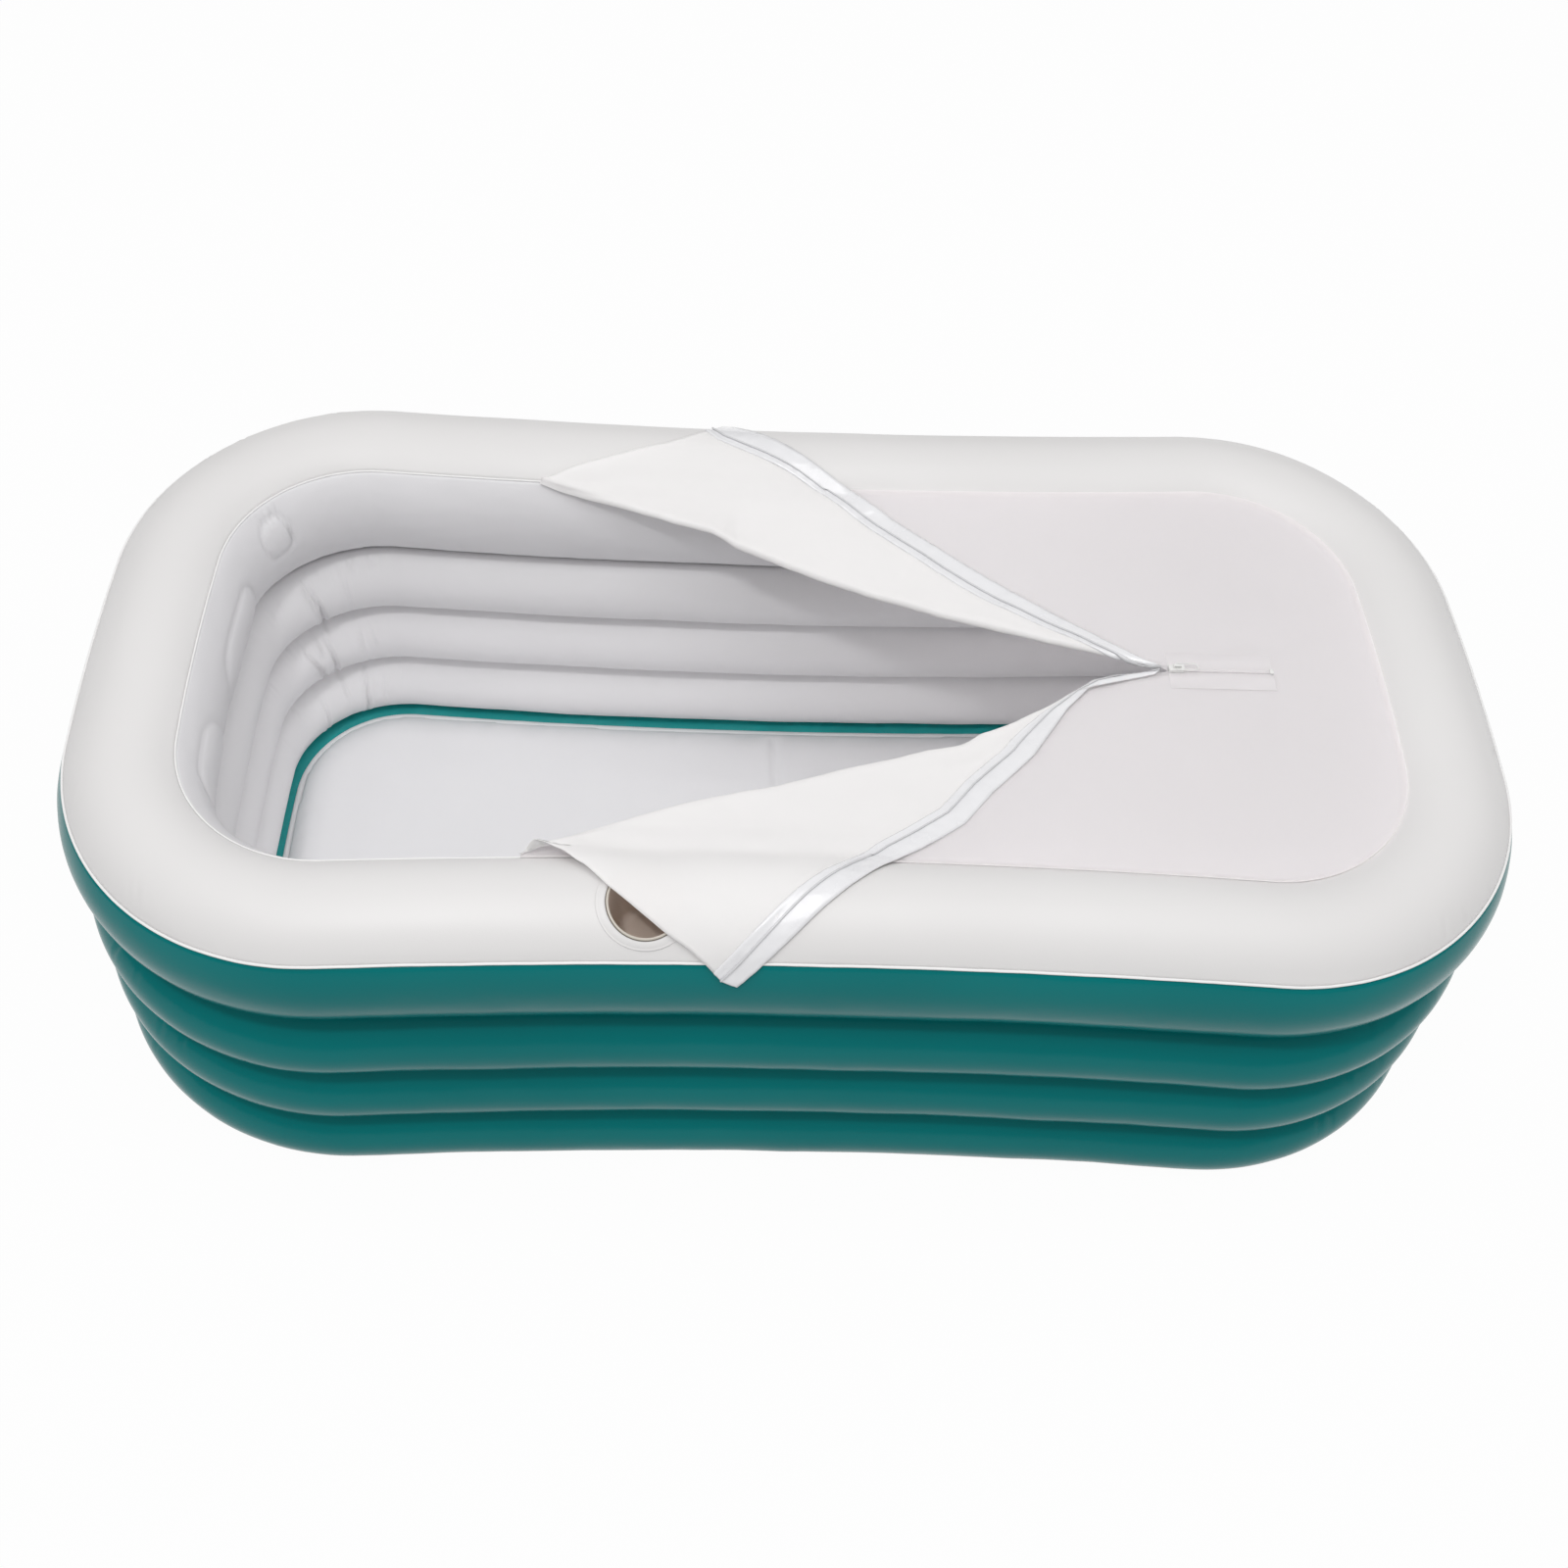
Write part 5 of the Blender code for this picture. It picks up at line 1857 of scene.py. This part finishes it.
BACK_FLAP = dict(
    body="back_flap_body", node="back_flap",
    free_edge=((-0.077, 0.392), (-0.062, 0.373), (-0.019, 0.343), (0.027, 0.309), (0.073, 0.274),
               (0.123, 0.232), (0.172, 0.195), (0.225, 0.152), (0.282, 0.107), (0.352, 0.049),
               (0.405, 0.010)),
    head_edge=((-0.3021, 0.2744), (-0.274, 0.287), (-0.245, 0.298), (-0.199, 0.3136),
               (-0.152, 0.329), (-0.1285, 0.3405), (-0.089, 0.3675), (-0.077, 0.392)))
FRONT_FLAP = dict(
    body="front_flap_body", node="front_flap",
    free_edge=((-0.0647, 0.435), (-0.028, 0.397), (0.019, 0.352), (0.064, 0.312), (0.107, 0.269),
               (0.143, 0.243), (0.175, 0.218), (0.209, 0.173), (0.259, 0.120), (0.303, 0.054),
               (0.329, 0.027), (0.405, 0.008)),
    head_edge=((-0.288, 0.2738), (-0.262, 0.2810), (-0.243, 0.2885), (-0.228, 0.3050),
               (-0.221, 0.3090), (-0.197, 0.3340), (-0.1665, 0.3585), (-0.137, 0.381),
               (-0.115, 0.395), (-0.097, 0.4105), (-0.080, 0.429), (-0.0647, 0.435)))


def node_box(name: str) -> Mesh:
    """Make a box as large as a CAD node's.

    Args:
        name: the node's name.

    Returns:
        The bmesh.
    """
    low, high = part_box(name)
    bm = bmesh.new()
    bmesh.ops.create_cube(bm, size=1, matrix=Matrix.Translation((low + high) / 2)
                          @ Matrix.Diagonal((*(high - low), 1)))
    return bm


class ClosedZip:
    """The zip past the slider: two tapes, two rails, the end stop, the slider and its pull."""

    def strip(self, name: str, node: str, finish: Finish, width: float) -> None:
        """Build a thin strip with rounded edges in a CAD strip's box.

        Args:
            name: the piece's name.
            node: the CAD node that it stands for.
            finish: its material.
            width: width of its rounded border.
        """
        low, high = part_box(node)
        bm = node_box(node)
        along = [e for e in bm.edges if abs(e.verts[0].co.x - e.verts[1].co.x) > MERGE]
        bmesh.ops.subdivide_edges(bm, edges=along, cuts=60, use_grid_fill=True)
        top = [e for e in bm.edges if all(v.co.z > high.z - MERGE for v in e.verts)
               and len({round(f.normal.z) for f in e.link_faces}) > 1]
        bmesh.ops.bevel(bm, geom=top, offset=min(width, (high.z - low.z) * 0.45),
                        offset_type='OFFSET', segments=2, profile=0.5, affect='EDGES',
                        material=-1)
        add_piece(name, bm, finish, Slot.TAPE, replaced=(node,))

    def end_stop(self) -> None:
        """Build the moulded end stop."""
        bm = node_box("zip_end_stop")
        bmesh.ops.bevel(bm, geom=bm.edges[:], offset=0.0006, offset_type='OFFSET', segments=3,
                        profile=0.5, affect='EDGES', material=-1)
        add_piece("end_stop", bm, PLASTIC, Slot.PLASTIC, replaced=("zip_end_stop",))

    def build(self) -> None:
        """Build the closed strips and the stop, and dress the slider and its loop."""
        for side in ("back", "front"):
            self.strip(f"zip_tape_{side}", f"closed_tape_{side}", CLOSED_TAPE, 0.0003)
            self.strip(f"zip_rail_{side}", f"closed_rail_{side}", CLOSED_TAPE, 0.0009)
        self.end_stop()
        dress(("zip_slider", "pull_loop"), PLASTIC)


# Cup holder


@dataclass
class CupHolder:
    """Cup let into the front of the rim, its film ring and its lip."""
    x: float = -0.158
    run: float = 0.014
    radius: float = 0.0376
    depth: float = 0.070
    taper: float = 0.0035
    sides: int = 72

    @cached_property
    def middle(self) -> Vector:
        """Cup's middle on the rim's film."""
        offset, height = SECTION.rim(SECTION.angle(self.run))
        return PLAN.long_side(self.x, offset, height, -1)

    def away(self, place: Vector) -> float:
        """Distance of a place from the cup's upright axis."""
        return (place.to_2d() - self.middle.to_2d()).length

    def laid(self, radius: float, turn: float, lift: float) -> Vector:
        """Place on the rim's film round the cup, raised by lift."""
        offset, height = SECTION.rim(SECTION.angle(self.run + radius * math.sin(turn)), lift)
        return PLAN.long_side(self.x + radius * math.cos(turn), offset, height, -1)

    def turned(self, profile: Sequence[Pair], sink: bool = False,
               closed: bool = False) -> Mesh:
        """Turn a profile about the cup's middle and lay it on the rim.

        Args:
            profile: (radius, height) points, heights from the rim's film.
            sink: whether heights below the film go straight down to a level floor.
            closed: whether the profile closes on itself.

        Returns:
            The bmesh.
        """
        bm = lathe(profile, closed, self.sides)
        for vert in bm.verts:
            radius, turn = math.hypot(vert.co.x, vert.co.y), math.atan2(vert.co.y, vert.co.x)
            height = vert.co.z
            top = self.laid(radius, turn, max(height, 0) if sink else height)
            if sink and height < 0:
                level = self.middle + Vector((*(radius * way(-turn)), height))
                share = smooth(0, 0.9, -height / self.depth)
                top = (top + Vector((0, 0, height))).lerp(level, share)
            vert.co = top
        bmesh.ops.recalc_face_normals(bm, faces=bm.faces)
        return bm

    def build(self) -> None:
        """Build the cup, its film ring and its lip."""
        round_edge = 0.008
        inner = self.radius - self.taper
        profile = [(self.radius, 0.0016), (self.radius, 0.0)]
        profile += [(mix(self.radius, inner, share), -share * (self.depth - round_edge))
                    for share in (0.08, 0.2, 0.35, 0.5, 0.65, 0.8, 0.9, 1.0)]
        for step in range(1, 6):
            turn = math.pi / 2 * step / 5
            profile.append((inner - round_edge * (1 - math.cos(turn)),
                            -self.depth + round_edge * (1 - math.sin(turn))))
        profile += [(0.020, -self.depth + 0.0006), (0.010, -self.depth + 0.0012),
                    (0.0, -self.depth + 0.0014)]
        bm = self.turned(profile, sink=True)
        face_towards(bm, lambda place: (self.middle - place).normalized() if
                     self.away(place) > 0.01 else UP)
        add_piece("cup", bm, CUP, Slot.CUP, replaced=("cup_holder",), thickness=0.0008)
        ring = [(0.0380, 0.0006), (0.0380, 0.0013), (0.0440, 0.0014), (0.0470, 0.0012),
                (0.0480, 0.0009), (0.0489, 0.0008), (0.0497, 0.0011), (0.0504, 0.0010),
                (0.0506, 0.0005), (0.0480, 0.0004)]
        add_piece("cup_film_ring", self.turned(ring, closed=True), WHITE, Slot.WHITE,
                  replaced=("cup_holder_ring",))
        lip = [(0.0373, 0.0015), (0.0373, 0.0020), (0.0378, 0.0023), (0.0392, 0.0023),
               (0.0397, 0.0019), (0.0397, 0.0015)]
        add_piece("cup_rim_lip", self.turned(lip, closed=True), LIP, Slot.LIP,
                  replaced=("cup_lip",))
        edge = [(0.0397, 0.0014), (0.0397, 0.0019), (0.0401, 0.0021), (0.0405, 0.0019),
                (0.0406, 0.0014)]
        add_piece("cup_lip_outline", self.turned(edge, closed=True), LIP_EDGE, Slot.LIP)


# Valves and drain


@dataclass
class Moulding:
    """A turned plastic fitting in the place of a CAD node."""
    node: str
    body: str
    place: Vector
    direction: Vector
    profile: tuple
    closed: bool = False
    steps: int = 64

    def build(self) -> None:
        """Turn the fitting."""
        bm = lathe(self.profile, self.closed, self.steps)
        turn = UP.rotation_difference(self.direction).to_matrix().to_4x4()
        bmesh.ops.transform(bm, matrix=Matrix.Translation(self.place) @ turn, verts=bm.verts)
        piece = add_piece(self.node + "_moulding", bm, PLASTIC, Slot.PLASTIC, body=self.body,
                          replaced=(self.node,))
        bevel = piece.modifiers.new("edges", 'BEVEL')
        bevel.width = 0.0004
        bevel.segments = 2
        bevel.limit_method = 'ANGLE'
        bevel.angle_limit = math.radians(40)


def stopper_profile(bore: float, length: float, radius: float) -> tuple:
    """Outline a push-in plug: grip, domed head, ribbed shank.

    Args:
        bore: radius of the bore.
        length: length of the shank.
        radius: radius of the head.

    Returns:
        Its (radius, height) points.
    """
    shank, gap, head, grip = bore - 0.0003, 0.0003, 0.0032, 0.0032
    top = gap + head
    return ((0, top + grip), (0.0030, top + grip), (0.0040, top + grip - 0.0008),
            (0.0036, top + 0.0008), (0.0050, top), (radius - head / 2, top - 0.0003),
            (radius - 0.0004, gap + head / 2), (radius, gap), (shank, gap),
            (shank, gap - length * 0.25), (shank - 0.0006, gap - length * 0.3),
            (shank, gap - length * 0.4), (shank, gap - length * 0.55),
            (shank - 0.0006, gap - length * 0.6), (shank - 0.0002, gap - length * 0.7),
            (shank - 0.0012, gap - length), (0, gap - length))


def build_fittings() -> None:
    """Build the valves, the drain and their plugs."""
    valve_cup = ((0.0085, 0.0019), (0.0165, 0.0019), (0.0180, 0.0011), (0.0180, 0.0003),
                 (0.0140, 0.0003), (0.0140, -0.020), (0.004, -0.020), (0.004, -0.017),
                 (0.0085, -0.017))
    low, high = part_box("wall_valve_body")
    wall_face = Vector((low.x + 0.0019, 0, (low.z + high.z) / 2))
    low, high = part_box("floor_valve_body")
    floor_face = Vector(((low.x + high.x) / 2, 0, high.z - 0.0019))
    for name, place, facing in (("wall_valve", wall_face, Vector((-1, 0, 0))),
                             ("floor_valve", floor_face, UP)):
        Moulding(name + "_body", TUB, place, facing, valve_cup, closed=True).build()
        body = "wall_plug_body" if name == "wall_valve" else "floor_plug_body"
        Moulding(name + "_plug", body, place + facing * 0.0019, facing,
                 stopper_profile(0.0085, 0.011, 0.013)).build()
    low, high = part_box("drain_sleeve")
    middle = (low + high) / 2
    end = (high.x - low.x) / 2
    face = end - 0.0016
    sleeve = ((0.0105, end), (0.0195, end), (0.0210, end - 0.0006), (0.0210, face),
              (0.0135, face), (0.0135, -face), (0.0210, -face), (0.0210, -end + 0.0006),
              (0.0195, -end), (0.0105, -end))
    Moulding("drain_sleeve", TUB, middle, Vector((1, 0, 0)), sleeve, closed=True).build()
    for name, facing in (("drain_cap", 1), ("drain_plug", -1)):
        place = middle + Vector((facing * end, 0, 0))
        Moulding(name, name + "_body", place, Vector((facing, 0, 0)),
                 stopper_profile(0.0105, 0.014, 0.0165)).build()


# Stage, lights and camera


@dataclass
class Studio:
    """Floor, soft lights and the camera."""
    focal_share: float = 1844.15 / 1600
    location: Vector = Vector((-0.1299, -1.3346, 1.9805))
    pitch: float = 0.91773
    yaw: float = 0.06497
    roll: float = 0.07598
    shift: Pair = (0.0230, -0.0062)
    world_light: float = 0.63
    mirrored_light: float = 0.15
    floor_light: float = 0.97

    def seen(self, tree: Tree) -> Socket:
        """Give a share that is 1 where the camera sees a thing, mirrored or through film too.

        Args:
            tree: tree that takes the nodes.

        Returns:
            The share's socket.
        """
        path = add_node(tree, 'LightPath').outputs
        return maths(tree, 'MAXIMUM', path['Is Camera Ray'],
                     maths(tree, 'MAXIMUM', path['Is Glossy Ray'], path['Is Transmission Ray']))

    def floor(self) -> None:
        """Lay a pale floor that looks nearly white and keeps the tub's soft shadow."""
        bm = bmesh.new()
        bmesh.ops.create_grid(bm, x_segments=1, y_segments=1, size=30)
        mesh = bpy.data.meshes.new("studio_floor")
        bm.to_mesh(mesh)
        bm.free()
        stage = show(bpy.data.objects.new("studio_floor", mesh))
        stage.location.z = -0.0005
        material = bpy.data.materials.new("pale_floor")
        material.use_nodes = True
        tree = material.node_tree
        shader = set_inputs(tree, tree.nodes["Principled BSDF"], {
            'Base Color': (0.62, 0.62, 0.62, 1), 'Roughness': 0.9, 'Specular IOR Level': 0.1})
        glow = add_node(tree, 'Emission', {'Strength': 1.0})
        share = maths(tree, 'MULTIPLY', self.seen(tree), self.floor_light)
        blend_shaders(tree, share, shader, glow)
        mesh.materials.append(material)

    def world(self) -> None:
        """Light everything softly from a plain white world."""
        world = bpy.data.worlds.new("studio")
        bpy.context.scene.world = world
        world.use_nodes = True
        tree = world.node_tree
        white = (1, 1, 1, 1)
        soft = set_inputs(tree, tree.nodes["Background"],
                          {'Color': white, 'Strength': self.world_light})
        path = add_node(tree, 'LightPath').outputs
        dimmed = maths(tree, 'MULTIPLY', path['Is Glossy Ray'], 1 - self.mirrored_light)
        plain = add_node(tree, 'Background',
                         {'Color': white, 'Strength': maths(tree, 'SUBTRACT', 1.0, dimmed)})
        blend_shaders(tree, self.seen(tree), soft, plain, "World Output")

    def lamp(self, name: str, place: Vector, aim: Vector, size: float, power: float) -> None:
        """Hang one soft square lamp.

        Args:
            name: its name.
            place: where it hangs.
            aim: where it points.
            size: its side.
            power: its power in watts.
        """
        light = bpy.data.lights.new(name, 'AREA')
        light.size = size
        light.energy = power
        lamp = show(bpy.data.objects.new(name, light))
        lamp.location = place
        lamp.rotation_euler = (aim - place).to_track_quat('-Z', 'Y').to_euler()

    def camera(self) -> None:
        """Set the camera at the photograph's place and angle."""
        forward = Vector((math.sin(self.yaw) * math.cos(self.pitch),
                          math.cos(self.yaw) * math.cos(self.pitch), -math.sin(self.pitch)))
        right = Vector((math.cos(self.yaw), -math.sin(self.yaw), 0))
        up = right.cross(forward)
        level = (right * math.cos(self.roll) + up * math.sin(self.roll)).normalized()
        raised = level.cross(forward)
        lens = bpy.data.cameras.new("camera")
        lens.sensor_width = 36
        lens.lens = 36 * self.focal_share
        lens.shift_x, lens.shift_y = self.shift
        camera = show(bpy.data.objects.new("camera", lens))
        turn = Matrix((level, raised, -forward)).transposed()
        camera.matrix_world = Matrix.Translation(self.location) @ turn.to_4x4()
        bpy.context.scene.camera = camera

    def build(self) -> None:
        """Set up the floor, world, lamps and camera."""
        self.floor()
        self.world()
        middle = Vector((0, 0, 0.3))
        self.lamp("key", Vector((-0.80, -1.34, 3.6)), middle, 0.24, 19)
        self.lamp("top", Vector((0.1, -0.4, 4.0)), middle, 2.4, 42)
        self.camera()
        bpy.context.scene.view_settings.view_transform = 'Standard'


FRAME: dict = {}


def main() -> None:
    """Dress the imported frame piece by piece."""
    logging.basicConfig(level=logging.INFO, format="%(name)s: %(message)s")
    FRAME.update(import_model())
    Studio().build()
    cup = CupHolder()
    AirWall().build(cup)
    Floor().build()
    Cover().build()
    Flap(BACK_FOLD, **BACK_FLAP).build()
    Flap(FRONT_FOLD, **FRONT_FLAP).build()
    ClosedZip().build()
    cup.build()
    build_fittings()


if __name__ == "__main__":
    main()
